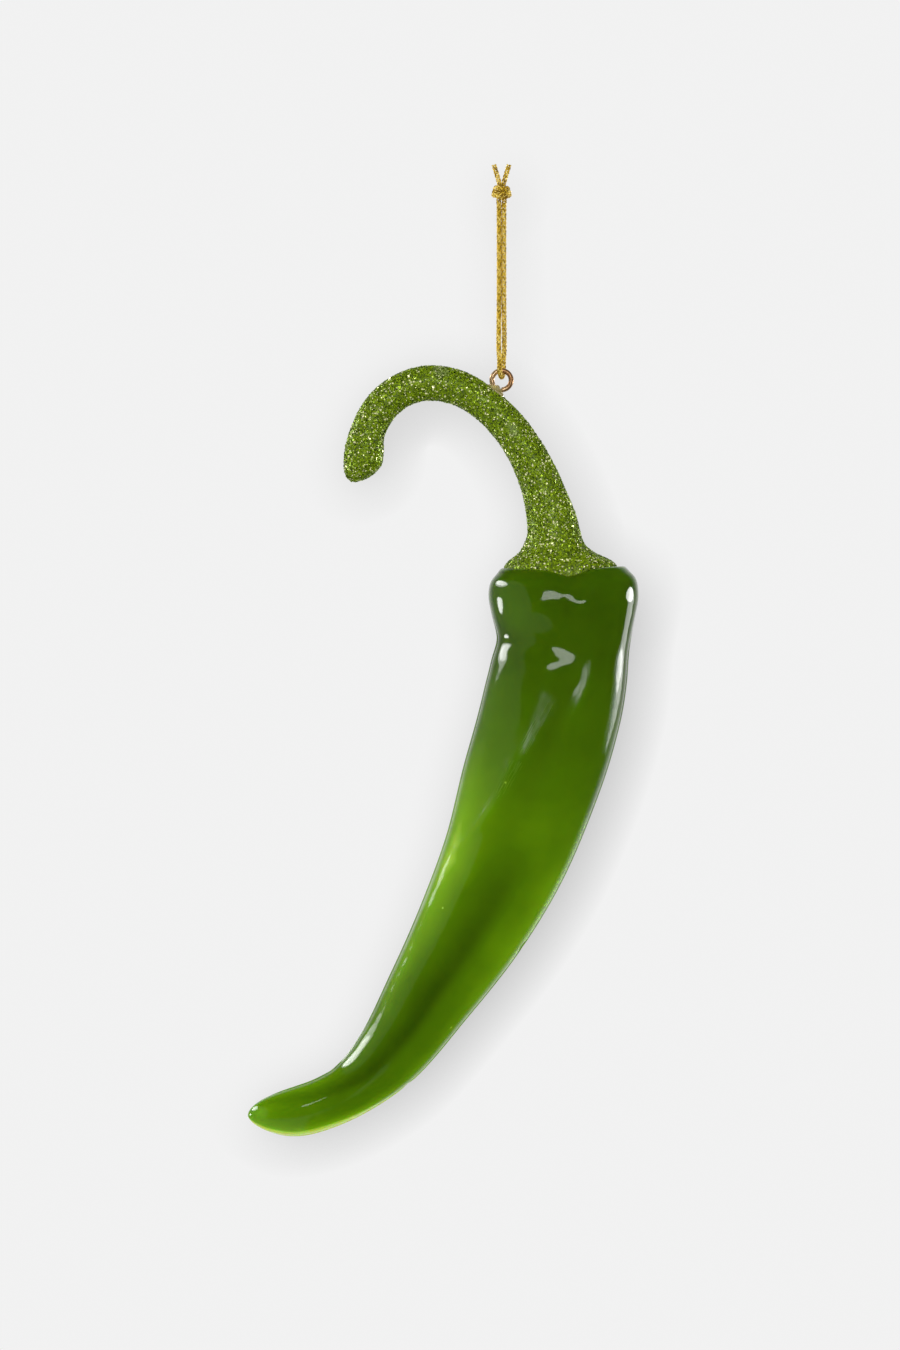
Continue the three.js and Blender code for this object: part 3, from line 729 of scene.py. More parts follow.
@dataclass
class Chilli:
    """The cast chilli, from the middle of its rim down to the tip."""

    drop: float = 109.6
    sweep: float = 63.0
    width: float = 30.0
    depth_at_shoulder: float = 23.6
    depth_share_at_tip: float = 1.06
    shoulder_zone: float = 22.0
    tip_zone: float = 12.0
    tip_taper: float = 0.58
    recess_inset: float = 3.5
    recess_offset: float = -0.5
    recess_depth: float = 3.0
    cleft_drop: float = 1.8
    rim_droop: float = 0.6
    sides: int = 240
    step: float = 0.55
    seam_height: float = 0.13
    seam_spread: float = 1.3
    seam_angles: tuple[float, float] = (3.0, 176.0)
    seam_crowding: float = 15.0
    groove_depth: float = 0.07
    groove_spread: float = 1.6
    groove_angles: tuple[float, float] = (7.0, 171.5)
    route: list[tuple[float, float]] = field(default_factory=lambda: [
        (0.0, 0.0), (-0.002, 0.064), (0.002, 0.137), (0.018, 0.21), (0.055, 0.301), (0.103, 0.39), (0.182, 0.524),
        (0.289, 0.651), (0.417, 0.773), (0.554, 0.89), (0.678, 0.954), (0.824, 0.99), (1.0, 1.0),
    ])
    outline: list[tuple[float, float]] = field(default_factory=lambda: [
        (0.0, 0.833), (0.0065, 0.882), (0.0153, 0.953), (0.026, 0.99), (0.044, 1.0), (0.0625, 0.973),
        (0.093, 0.917), (0.118, 0.893), (0.153, 0.91), (0.205, 0.927), (0.317, 0.91), (0.429, 0.83),
        (0.543, 0.727), (0.654, 0.597), (0.766, 0.465), (0.841, 0.365), (0.916, 0.333), (1.0, 0.32),
    ])
    forms: list[SkinForm] = field(default_factory=lambda: [
        SkinForm("front cleft", 0, 6.5, 83, 17, 0, -1.1),
        SkinForm("back left cleft", 0, 8, 215, 17, 0, -1.2),
        SkinForm("back right cleft", 0, 8, 322, 17, 0, -1.2),
        SkinForm("shoulder pinch", 15.2, 3.2, 138, 46, 0, -0.9),
        SkinForm("brow under the pinch", 20.5, 2.8, 92, 24, 0, 0.45),
        SkinForm("front valley", 36, 15, 86, 13, 0.3, -0.9),
        SkinForm("front ridge", 42, 16, 110, 13, 0.5, 0.55),
        SkinForm("lower valley", 88, 24, 74, 20, 0.1, -0.7),
        SkinForm("back pinch", 19, 4.5, 252, 38, 0, -0.7),
        SkinForm("back furrow", 58, 28, 268, 15, 0.1, -0.9),
    ])
    details: list[SkinForm] = field(default_factory=lambda: [
        SkinForm("left bump", 8.4, 2.4, 113, 11, 0, 0.5),
        SkinForm("dimple between the bumps", 7.4, 2.6, 88, 4.5, 0, -0.3),
        SkinForm("right bump", 7, 1.9, 75, 6.5, 0, 0.34),
        SkinForm("slack over the brow", 20.5, 2.8, 94, 27, 0, -0.3),
        SkinForm("brow", 19.2, 0.6, 99, 14, 0.2, 0.1, 7),
        SkinForm("short ridge", 25.5, 6, 69, 5.5, 0.95, 0.6),
        SkinForm("rubbed ridge", 39.5, 6, 105, 7.5, 0.9, 0.6),
        SkinForm("rubbed ridge, lower", 53, 8, 120, 6, 1.9, 0.4),
        SkinForm("soft ridge", 64, 10, 114, 8, 0.3, 0.2),
        SkinForm("left side, upper", 24, 12, 152, 22, 0, 0.3),
        SkinForm("left side, lower", 78, 14, 150, 14, 0, 0.5),
        SkinForm("kink of the seam", 117.3, 1.5, 178, 18, 0, -0.3),
        SkinForm("upper nick", 73.6, 0.7, 8, 4, 0, -0.35),
        SkinForm("lower nick", 107.3, 0.7, 3, 4, 0, -0.35),
    ])
    # The rolled rim from the recess's floor up and out: distance down the spine, width, offset and share of the sink
    rim: list[tuple[float, float, float, float]] = field(default_factory=lambda: [
        (3.0, 2.0, -0.5, 0.0), (3.0, 12.0, -0.5, 0.0), (3.0, 21.4, -0.5, 0.0), (2.8, 22.8, -0.5, 0.05),
        (1.4, 23.0, -0.5, 0.6), (0.4, 23.15, -0.47, 1.0), (0.02, 23.6, -0.35, 1.0), (-0.06, 24.3, -0.12, 1.0),
        (0.08, 25.05, 0.0, 1.0),
    ])

    def __post_init__(self) -> None:
        """Samples the spine."""
        points = [(-x * self.sweep, -z * self.drop) for x, z in self.route]
        self.spine = Spine(points, [(share, part * self.width) for share, part in self.outline])
        self.deepest_dent = max(-form.lift for form in self.forms)

    def skin_lift(self, distance: Grid, angle: Grid, forms: list[SkinForm] | None = None) -> Grid:
        """How far the swellings and dents move the skin.

        Args:
            distance: Distances down the spine.
            angle: Degrees round it.
            forms: The forms that count, which are the casting's main ones unless others are given.

        Returns:
            The lift in millimetres.
        """
        lift = np.zeros(np.broadcast(distance, angle).shape)
        for form in self.forms if forms is None else forms:
            middle = form.angle + form.drift * (distance - form.at)
            along = np.where(distance > form.at, form.along * form.tail, form.along)
            lift = lift + form.lift * bell(distance, form.at, along) * bell(turned(angle, middle), 0, form.around)
        return lift * np.minimum(1, self.spine.width_at(distance) / self.width)

    def detail_lift(self, distance: Grid, angle: Grid) -> Grid:
        """How far the small ridges and the parting seam move the skin."""
        reach = eased(distance, 9, 18) * (1 - eased(distance, self.spine.length - 9, self.spine.length - 3))
        seam = sum(bell(turned(angle, middle), 0, self.seam_spread) for middle in self.seam_angles)
        groove = sum(bell(turned(angle, middle), 0, self.groove_spread) for middle in self.groove_angles)
        seam_lift = self.seam_height * seam - self.groove_depth * groove
        return self.skin_lift(distance, angle, self.details) + seam_lift * reach

    def rim_drop(self, angle: Grid) -> Grid:
        """How far the rim sinks, in its clefts and a little at the front and the back."""
        clefts = np.maximum(0, -self.skin_lift(np.zeros_like(angle), angle)) / self.deepest_dent
        return self.cleft_drop * clefts + self.rim_droop * np.sin(np.radians(angle)) ** 2

    def angles(self) -> Grid:
        """Degrees round the skin, closer together at the two parting seams."""
        even = np.linspace(0, 360, self.sides, endpoint=False)
        return even - self.seam_crowding * np.sin(np.radians(2 * even))

    def rings(self, distance: Grid, width: Grid, offset: Grid, sink: Grid, angles: Grid) -> Grid:
        """Rings of the chilli's section.

        Args:
            distance: Distance down the spine of each ring.
            width: Width of each ring.
            offset: How far each ring slides across.
            sink: How much of the rim's drop each ring takes.
            angles: Degrees round the section of each point of a ring.

        Returns:
            The grid of points, from the middle of the rim.
        """
        angle = angles[None]
        d = np.asarray(distance, float)[:, None]
        width, offset, sink = (np.asarray(x, float)[:, None] for x in (width, offset, sink))
        fade = sink * np.clip(1 - d / self.shoulder_zone, 0, 1) ** 3
        point, across = self.spine.frame_at(d + self.rim_drop(angle) * fade)
        lift = self.skin_lift(np.maximum(d, 0), angle)
        down = np.maximum(0, d / self.spine.length)
        depth = self.depth_at_shoulder / self.width
        depth = depth + (self.depth_share_at_tip - depth) * down
        turn = np.radians(angle)
        wide, deep = width / 2 * np.cos(turn), width / 2 * depth * np.sin(turn)
        outline = across * wide[..., None] + FRONT * deep[..., None]
        radius = np.linalg.norm(outline, axis=-1)
        share = np.maximum(radius + lift, radius / 4) / np.maximum(radius, 1e-9)
        return point + across * offset[..., None] + outline * share[..., None]

    def width_at(self, distance: Grid) -> Grid:
        """The width, rounded off at the tip."""
        inside = np.clip(1 - (self.spine.length - distance) / self.tip_zone, 0, 1)
        return self.spine.width_at(distance) * (1 - inside**2) ** self.tip_taper

    def skin(self) -> tuple[Skin, Grid]:
        """The whole skin: the recess, the rolled rim, the flanks and the tip.

        Returns:
            The skin, and the distance down the spine of each of its rings.
        """
        rim = catmull_rom(np.array(self.rim), 7)[:-1]
        flank_end = self.spine.length - self.tip_zone
        start = self.rim[-1][0]
        flank = np.linspace(start, flank_end, round((flank_end - start) / self.step))
        tip = self.spine.length - self.tip_zone * np.linspace(1, 0.03, 34)[1:] ** 2
        outer = np.concatenate([flank, tip])
        width = self.width_at(outer)
        width[:3] = np.maximum(width[:3], self.rim[-1][1])
        stations = np.concatenate([rim, np.stack([outer, width, 0 * outer, np.ones_like(outer)], 1)])
        angles = self.angles()
        plain = Skin(self.rings(*stations.T, angles))
        lift = self.detail_lift(stations[:, :1], angles[None])
        lift[: len(rim)] = 0
        return Skin(plain.grid + plain.normals() * lift[..., None]), stations[:, 0]

    def tone(self, distance: Grid, angle: Grid) -> Grid:
        """How lime the resin is painted, from 0 in the thick middle to 1 at the thin sides and tip, as painted light
        and shade.
        """
        # Darker near the thick shoulder and lighter lower down: painted shade and light.
        stations = [0, 20, 28, 45, 60, 75, 90, 118, 137]
        base = np.interp(distance, stations, [0.15, 0.18, 0.31, 0.5, 0.62, 0.6, 0.46, 0.42, 0.6])
        # Painted shade: a dark band down the thick middle, which swings round towards the tip.
        painted_shade_band_at = np.interp(distance, [45, 57, 84, 100, 112, 125, 132], [80, 80, 85, 89, 96, 124, 135])
        beside = turned(angle, painted_shade_band_at)
        dark = bell(beside, 0, np.where(beside < 0, 12, 23)) * eased(distance, 50, 76)
        dark = dark * (1 - 0.6 * eased(distance, 106, 130))
        # Painted light down the thin left and right sides.
        left = bell(turned(angle, 147), 0, 21) * eased(distance, 28, 66) * (1 - 0.5 * eased(distance, 84, 100))
        right = bell(turned(angle, 22), 0, 22) * eased(distance, 50, 70)
        # Painted rim light along the lower edge and under the tip.
        under = bell(turned(angle, 8), 0, 36) * eased(distance, 102, 122)
        edge = bell(turned(angle, -4), 0, 17) * eased(distance, 84, 112)
        # A paler patch high on the left of the shoulder.
        patch = bell(distance, 9, 5) * bell(turned(angle, 136), 0, 22)
        painted_light_lift = 0.24 * left + 0.26 * right + 0.4 * under + 0.4 * edge + 0.14 * patch
        return np.clip(base + painted_light_lift - 0.38 * dark, 0, 1)

    def rubbed(self, distance: Grid, angle: Grid) -> Grid:
        """Where the skin is scratched: the place across and along the rubbed ridge, in tens, and the strength."""
        ridge = np.interp(distance, [24, 34, 48, 57], [90, 101, 112, 128])
        fan = bell(turned(angle, ridge), 0, 8.5) * eased(distance, 24, 29) * (1 - eased(distance, 45, 55))
        fan = fan * (1 - 0.7 * bell(distance, 39.5, 0.8))
        short = bell(turned(angle, 64 + 0.95 * (distance - 18)), 0, 4) * eased(distance, 17, 20)
        short = short * (1 - eased(distance, 28, 32))
        strength = np.clip(fan + 0.5 * short, 0, 1)
        across = np.broadcast_to(angle - ridge, strength.shape)
        along = np.broadcast_to(distance, strength.shape)
        return np.stack([across / 10, along / 10, strength], -1)

    def scuffed(self, distance: Grid, angle: Grid) -> Grid:
        """How much the skin is scuffed by fine dots, which it is down the right edge of the shoulder."""
        return bell(turned(angle, 29), 0, 7) * eased(distance, 13, 19) * (1 - eased(distance, 29, 36))

    def build(self, place: Grid) -> None:
        """Builds and dresses the chilli, with the middle of its rim at a place in millimetres."""
        skin, distances = self.skin()
        skin.grid = skin.grid + place
        piece = skin.piece("chilli_casting")
        where = distances[:, None], self.angles()[None]
        # The tone is painted light and shade for the resin's colour.
        skin.store(piece, "tone", self.tone(*where))
        skin.store(piece, "rubbed", self.rubbed(*where))
        skin.store(piece, "scuffed", self.scuffed(*where))
        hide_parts("chili_body")
        dress(piece, ResinFinish(), Body.ORNAMENT)


# The stem


@dataclass
class Stem:
    """The stem's core with its calyx, and the glitter that coats it."""

    chilli: Chilli
    rise: float = 38.1
    reach: float = 38.7
    foot_offset: float = 1.75
    foot_depth: float = 1.2
    end_zone: float = 5.0
    end_taper: float = 0.58
    end_flat: float = 0.34
    cut_slant: float = 1.5
    cut_reach: float = 5.0
    sides: int = 120
    step: float = 0.45
    # The underside's rings, which take no glitter
    bare_rings: int = 3
    flakes: int = 32500
    flake_corners: int = 4
    flake_radius: tuple[float, float] = (0.13, 0.26)
    flake_tilt: float = 0.28
    route: list[tuple[float, float]] = field(default_factory=lambda: [
        (0.0, 0.0), (0.001, 0.116), (0.004, 0.231), (0.037, 0.373), (0.085, 0.512), (0.149, 0.643), (0.23, 0.764),
        (0.347, 0.882), (0.488, 0.971), (0.643, 1.0), (0.783, 0.963), (0.895, 0.871), (0.964, 0.74),
        (0.985, 0.609), (1.0, 0.478),
    ])
    widths: list[tuple[float, float]] = field(default_factory=lambda: [
        (0.0, 11.0), (0.078, 10.7), (0.115, 10.1), (0.16, 9.3), (0.199, 8.5), (0.261, 7.8), (0.334, 7.2),
        (0.407, 6.9), (0.49, 6.6), (0.573, 6.8), (0.652, 6.8), (0.724, 6.6), (0.796, 6.6), (0.869, 6.7),
        (0.922, 7.6), (1.0, 7.2),
    ])
    # The calyx: height over the rim, and the share of the flare left there
    flare: list[tuple[float, float]] = field(default_factory=lambda: [
        (-0.2, 1.0), (0.2, 0.995), (0.6, 0.95), (1.5, 0.76), (2.7, 0.4), (3.9, 0.19), (5.1, 0.07), (6.4, 0.015),
        (7.6, 0.0),
    ])

    def __post_init__(self) -> None:
        """Samples the spine."""
        points = [(-self.foot_offset - x * self.reach, -self.foot_depth + z * self.rise) for x, z in self.route]
        self.spine = Spine(points, self.widths)

    def rings(self, distance: Grid, width: Grid, offset: Grid) -> Grid:
        """Round rings of the stem, which slide across by their offsets."""
        point, across = self.spine.frame_at(np.asarray(distance, float))
        turn = 2 * np.pi * np.arange(self.sides) / self.sides
        middle = (point + across * np.asarray(offset, float)[:, None])[:, None]
        half = np.asarray(width, float)[:, None, None] / 2
        return middle + half * (np.cos(turn)[None, :, None] * across[:, None] + np.sin(turn)[None, :, None] * FRONT)

    def seated(self, distance: Grid, width: Grid, sink: Grid) -> Grid:
        """Rings of the chilli's section for what sits in its recess, wound the stem's way."""
        offset = np.full(len(distance), self.chilli.recess_offset)
        angles = 360 * np.arange(self.sides) / self.sides
        grid = self.chilli.rings(distance, width, offset, sink, angles)
        return grid[:, (self.sides // 2 - np.arange(self.sides)) % self.sides]

    def skin(self) -> Skin:
        """The whole skin of the core, from its seat in the recess to the hook's end."""
        seat = self.chilli.width - 2 * self.chilli.recess_inset - 2 * SEAT_GAP
        floor = self.chilli.recess_depth - SEAT_GAP
        depths, seats = np.array([floor, floor, floor / 2]), np.array([seat / 2, seat, seat])
        bottom = self.seated(depths, seats, np.array([0, 0, 0.6]))
        heights = catmull_rom(np.array(self.flare), 6)
        height, left = heights.T
        distance = height + self.foot_depth
        width = self.spine.width_at(distance) * (1 - left) + seat * left
        round_part = self.rings(distance, width, 0 * width)
        seated_part = self.seated(-height, width, np.ones_like(width))
        calyx = seated_part * left[:, None, None] + round_part * (1 - left)[:, None, None]
        end = self.spine.length - self.end_flat * 0.2
        shaft = np.linspace(distance[-1], end, round((end - distance[-1]) / self.step))[1:]
        to_end = self.spine.length - shaft
        inside = np.clip(1 - to_end / self.end_zone, 0, 1)
        width = self.spine.width_at(shaft) * (1 - inside**2) ** self.end_taper
        slant = -self.cut_slant * np.maximum(0, 1 - to_end / self.cut_reach) ** 2
        return Skin(np.concatenate([bottom, calyx, self.rings(shaft, width, slant)]))

    def flake_spots(self, skin: Skin, random: np.random.Generator) -> tuple[Grid, Grid]:
        """Places for the flakes, spread evenly over the skin.

        Args:
            skin: The skin that they stick to.
            random: The source of chance.

        Returns:
            The places and the outward directions there.
        """
        grid, normal = skin.grid[self.bare_rings :], skin.normals()[self.bare_rings :]
        step_down = np.linalg.norm(np.diff(grid, axis=0), axis=-1)
        step_round = np.linalg.norm(np.roll(grid, -1, 1) - grid, axis=-1)[:-1]
        area = (step_down * step_round).ravel()
        cell = random.choice(len(area), self.flakes, p=area / area.sum())
        ring, side = np.divmod(cell, grid.shape[1])
        after = (side + 1) % grid.shape[1]
        u, v = random.random((2, self.flakes, 1))
        spots, outward = (
            (x[ring, side] * (1 - u) + x[ring, after] * u) * (1 - v)
            + (x[ring + 1, side] * (1 - u) + x[ring + 1, after] * u) * v
            for x in (grid, normal)
        )
        return spots, outward / np.linalg.norm(outward, axis=1, keepdims=True)

    def glitter(self, skin: Skin, place: Grid) -> None:
        """Builds and dresses the flakes, each a square plate on a point that is sunk in the core.

        Args:
            skin: The skin that they stick to.
            place: Where the middle of the chilli's rim stands.
        """
        random = np.random.default_rng(11)
        spots, outward = self.flake_spots(skin, random)
        count, corners = len(spots), self.flake_corners
        facing = outward + random.normal(0, self.flake_tilt, (count, 3))
        facing /= np.linalg.norm(facing, axis=1, keepdims=True)
        helper = np.where(np.abs(facing[:, 2:]) < 0.9, [[0.0, 0.0, 1.0]], [[1.0, 0.0, 0.0]])
        one = np.cross(facing, helper)
        one /= np.linalg.norm(one, axis=1, keepdims=True)
        two = np.cross(facing, one)
        radius = random.uniform(*self.flake_radius, count)[:, None, None]
        turn = random.uniform(0, 2 * np.pi, (count, 1)) + 2 * np.pi * np.arange(corners) / corners
        middle = spots + outward * (0.03 + random.uniform(0.0, 0.1, (count, 1)))
        spoke = np.cos(turn)[..., None] * one[:, None] + np.sin(turn)[..., None] * two[:, None]
        edge = middle[:, None] + radius * spoke
        points = np.concatenate([edge, (middle - outward * 0.3)[:, None]], 1) + place
        corner = np.arange(corners)
        under = np.stack([np.full(corners, corners), (corner + 1) % corners, corner], 1)
        faces = []
        for base in range(0, count * (corners + 1), corners + 1):
            faces.append((base + corner).tolist())
            faces.extend((base + under).tolist())
        piece = mesh_piece("stem_glitter", points.reshape(-1, 3), faces, False)
        cells = math.ceil(math.sqrt(count))
        around = np.stack([np.cos(2 * np.pi * corner / corners), np.sin(2 * np.pi * corner / corners)], 1) * 0.22
        round_root = np.vstack([around, [[0.0, 0.0]]])
        cell = np.vstack([around + [0.26, 0.5], round_root[under.ravel()] + [0.74, 0.5]])
        flat = (np.stack(np.divmod(np.arange(count), cells), 1)[:, None] + cell[None]) / cells
        piece.data.uv_layers.new(name=BAKE_MAP).uv.foreach_set("vector", flat.astype(np.float32).ravel())
        dress(piece, GlitterFinish(), Body.ORNAMENT)

    def build(self, place: Grid) -> None:
        """Builds and dresses the core and its glitter, with the middle of the chilli's rim at a place."""
        skin = self.skin()
        self.glitter(skin, place)
        core = Skin(skin.grid + place).piece("stem_core")
        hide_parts("stem")
        dress(core, CoreFinish(), Body.ORNAMENT)


# The eye and its glue


@dataclass
class ScrewEye:
    """The wire eye, turned home in the stem, and the glue round its foot."""

    stem: Stem
    outer: float = 4.85
    wire: float = 1.0
    standoff: float = 0.05
    shank: float = 4.6
    neck: float = 0.7
    mouth_angle: float = 36.0
    bend_angle: float = 28.0
    seat_along: float = 38.3
    bead_length: float = 3.7
    bead_width: float = 3.0
    bead_height: float = 0.95
    bead_shift: float = -0.45
    sides: int = 28
    step: float = 0.12

    def __post_init__(self) -> None:
        """Works out the seat, and from it where the chilli's rim stands."""
        point, across = (x[0] for x in self.stem.spine.frame_at(np.array([self.seat_along])))
        self.outward = -across
        self.skin = point + self.outward * float(self.stem.spine.width_at(np.array([self.seat_along]))[0]) / 2
        self.middle = self.skin + self.outward * (self.standoff + self.outer / 2)
        self.ring_radius = (self.outer - self.wire) / 2
        self.place = np.array([-self.middle[0], 0.0, -LOOP_DROP - self.middle[2]])

    def path(self) -> Grid:
        """The wire's middle line, from the shank's tip to the open mouth of the ring."""
        depths = [self.shank, self.shank / 2, self.neck + self.wire / 2, self.neck]
        points = [self.skin - self.outward * depth for depth in depths]
        foot = math.degrees(math.atan2(-self.outward[2], -self.outward[0]))
        for angle in np.radians(np.linspace(foot - self.bend_angle, foot + self.mouth_angle - 360, 21)):
            points.append(self.middle + self.ring_radius * np.array([math.cos(angle), 0.0, math.sin(angle)]))
        return catmull_rom(np.array(points), 8)

    def build_eye(self) -> None:
        """Builds and dresses the wire, with its cut end a little rounded."""
        path = evenly(self.path(), self.step)
        one, two = transport(path, np.array([0.0, 1.0, 0.0]))
        at = np.arange(len(path)) * self.step
        from_end = np.minimum(at, at[-1] - at)
        half = self.wire / 2 * np.minimum(1, 0.72 + 0.28 * np.sqrt(np.clip(from_end / 0.24, 0, 1)))
        half = half * (1 + 0.012 * np.sin(at * 2.1) + 0.008 * np.sin(at * 5.3 + 1))
        grid = tube_grid(path, half, half, one, two, self.sides) + self.place
        piece = Skin(grid[:, ::-1]).piece("eye_wire")
        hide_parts("screw_eye")
        dress(piece, BrassFinish(), Body.ORNAMENT)

    def build_glue(self) -> None:
        """Builds and dresses the bead, a lumpy dome on the stem's skin that runs up the wire."""
        sides, rings = 72, 26
        turn = 2 * np.pi * np.arange(sides) / sides
        share = np.concatenate([np.linspace(0.02, 1, rings), np.linspace(1, 0.02, rings // 2)])
        upper = np.arange(len(share)) < rings
        ragged = 1 + 0.06 * np.sin(3 * turn + 0.6) + 0.05 * np.sin(5 * turn + 2)
        reach_along = self.bead_length / 2 * share[:, None] * (ragged * np.cos(turn))[None]
        reach_side = self.bead_width / 2 * share[:, None] * (ragged * np.sin(turn))[None]
        distance = self.seat_along + self.bead_shift + reach_along
        point, across = self.stem.spine.frame_at(distance)
        radius = self.stem.spine.width_at(distance) / 2 + 0.04
        lean = reach_side / radius
        dome = self.bead_height * (1 - share**2) ** 0.7
        climb = 0.35 * bell(np.hypot(reach_along + self.bead_shift, reach_side), 0.0, 0.62)
        lumps = 0.05 * np.sin(4 * turn[None] + 9 * share[:, None])
        inward = 1 - share[:, None]
        height = np.where(upper[:, None], dome[:, None] + (climb + lumps) * inward, -0.35 * inward)
        outward = -across * np.cos(lean)[..., None] + FRONT * np.sin(lean)[..., None]
        grid = point + outward * (radius + height)[..., None] + self.place
        piece = Skin(grid).piece("glue_bead")
        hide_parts("eye_glue")
        dress(piece, GlueFinish(), Body.ORNAMENT)


# The cord


@dataclass
class Cord:
    """The braided cord: one loop through the eye, its knot and the two tails."""

    eye: ScrewEye
    diameter: float = 1.0
    bend_radius: float = 2.0
    strand_offset: float = 0.42
    yarn_pairs: int = 4
    lay_length: float = 3.4
    yarn_width: float = 0.32
    yarn_thickness: float = 0.15
    yarn_wave: float = 0.06
    yarn_sides: int = 6
    loop_length: float = 73.0
    tail_length: float = 3.4
    step: float = 0.1
    # The front strand from the knot to the eye: share of the way down, x and y. The back one is turned half round.
    strand: list[tuple[float, float, float]] = field(default_factory=lambda: [
        (0.0, -0.5, 0.0), (0.21, -0.48, 0.0), (0.43, -0.48, 0.0), (0.58, -0.49, -0.05), (0.7, -0.52, -0.3),
        (0.81, -0.56, -0.85), (0.9, -0.56, -1.5),
    ])
    # One strand through the knot, from its underside to the top
    knot_turns: list[tuple[float, float, float]] = field(default_factory=lambda: [
        (-0.56, 0.0, 0.0), (-0.5, -0.5, 0.7), (0.3, -0.95, 1.5), (1.15, -0.55, 2.35), (1.1, 0.55, 2.9),
        (0.0, 1.2, 2.6), (-1.25, 0.75, 1.9), (-1.5, -0.35, 1.5), (-0.6, -1.3, 1.35), (0.75, -1.2, 1.7),
        (1.45, -0.1, 2.1), (0.9, 0.7, 1.8), (0.1, 0.25, 2.3), (-0.3, -0.1, 3.3), (-0.55, 0.0, 4.3),
    ])

    def bight_point(self, angle: float) -> Grid:
        """A point of the bend under the ring's top, from -90 degrees at the front to 90 at the back."""
        low = -LOOP_DROP + self.eye.ring_radius - self.eye.wire / 2 - SEAT_GAP - self.diameter / 2
        forward = math.sin(math.radians(angle))
        rise = self.bend_radius * (1 - math.cos(math.radians(angle)))
        return np.array([self.strand_offset * forward, self.bend_radius * forward, low + rise])

    def loop_path(self) -> Grid:
        """The loop's middle line, down the front strand, under the ring and up the back one."""
        end = self.bight_point(-90) + [0, 0, SEAT_GAP]
        front = [np.array([x, y, share * end[2]]) for share, x, y in self.strand]
        front += [end + [0, 0, self.diameter], end]
        back = [p * [-1, -1, 1] for p in reversed(front)]
        bend = [self.bight_point(angle) for angle in range(-90, 91, 15)]
        return evenly(catmull_rom(np.array([*front, *bend, *back]), 12), self.step)

    def braid(self, name: str, paths: list[Grid]) -> Piece:
        """Yarns wound both ways round each path, over and under one another.

        Args:
            name: The piece's name.
            paths: The middle lines, with points a step apart.

        Returns:
            The piece.
        """
        points, faces = [], []
        base = 0
        rate = 2 * np.pi / self.lay_length
        radius = self.diameter / 2 - self.yarn_thickness / 2 - self.yarn_wave / 2
        for path in paths:
            one, two = transport(path, np.array([1.0, 0.3, 0.0]))
            at = np.concatenate([[0], np.cumsum(np.linalg.norm(np.diff(path, axis=0), axis=1))])
            for hand in (1, -1):
                over = radius + hand * self.yarn_wave * np.cos(self.yarn_pairs * rate * at)
                for yarn in range(self.yarn_pairs):
                    turn = hand * rate * at + 2 * np.pi * yarn / self.yarn_pairs
                    out = one * np.cos(turn)[:, None] + two * np.sin(turn)[:, None]
                    line = path + out * over[:, None]
                    ahead = np.gradient(line, axis=0)
                    ahead /= np.linalg.norm(ahead, axis=1, keepdims=True)
                    side = np.cross(ahead, out)
                    half = np.ones(len(line))
                    grid = tube_grid(line, half * self.yarn_width / 2, half * self.yarn_thickness / 2, side, out,
                                     self.yarn_sides)
                    rings, sides = grid.shape[:2]
                    faces += (ring_quads(rings, sides) + base).tolist()
                    faces.append((base + np.arange(sides)[::-1]).tolist())
                    faces.append((base + (rings - 1) * sides + np.arange(sides)).tolist())
                    points.append(grid.reshape(-1, 3))
                    base += rings * sides
        return mesh_piece(name, np.vstack(points), faces, True)

    def build(self) -> None:
        path = self.loop_path()
        loop = self.braid("cord_loop", [path])
        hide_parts("cord_strand_front", "cord_strand_back", "cord_bight")
        dress(loop, CordFinish(), Body.CORD)
        through = np.array(self.knot_turns)
        lean = np.array([-0.28, 0.0, 0.96]) * self.tail_length
        one = np.vstack([through, through[-1] + lean / 2, through[-1] + lean])
        strands = [evenly(catmull_rom(one * turn, 10), self.step) for turn in ([1, 1, 1], [-1, -1, 1])]
        knot = self.braid("knot_and_tails", strands)
        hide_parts("cord_knot")
        dress(knot, CordFinish(), Body.CORD)
        length = float(np.linalg.norm(np.diff(path, axis=0), axis=1).sum())
        log.info("loop: %.1f mm along its middle line", length)


# The studio


@dataclass(frozen=True)
class Lamp:
    """A soft lamp that looks at the ornament.

    around is degrees from the front to the right and up is degrees above level. away, width and height are metres,
    and level is its brightness, where 1 is white paper.
    """

    name: str
    around: float
    up: float
    away: float
    width: float
    height: float
    level: float

    def build(self, aim: Vector) -> None:
        """Builds the lamp, which looks at a point in metres."""
        around, up = math.radians(self.around), math.radians(self.up)
        towards = Vector((math.sin(around) * math.cos(up), -math.cos(around) * math.cos(up), math.sin(up)))
        data = bpy.data.lights.new(self.name, "AREA")
        data.shape = "ELLIPSE"
        data.size, data.size_y = self.width, self.height
        data.energy = self.level * math.pi * (math.pi / 4 * self.width * self.height)
        lamp = bpy.data.objects.new(self.name, data)
        lamp.location = aim + towards * self.away
        lamp.rotation_euler = (-towards).to_track_quat("-Z", "Y").to_euler()
        lamp.visible_camera = lamp.visible_diffuse = False
        bpy.context.scene.collection.objects.link(lamp)


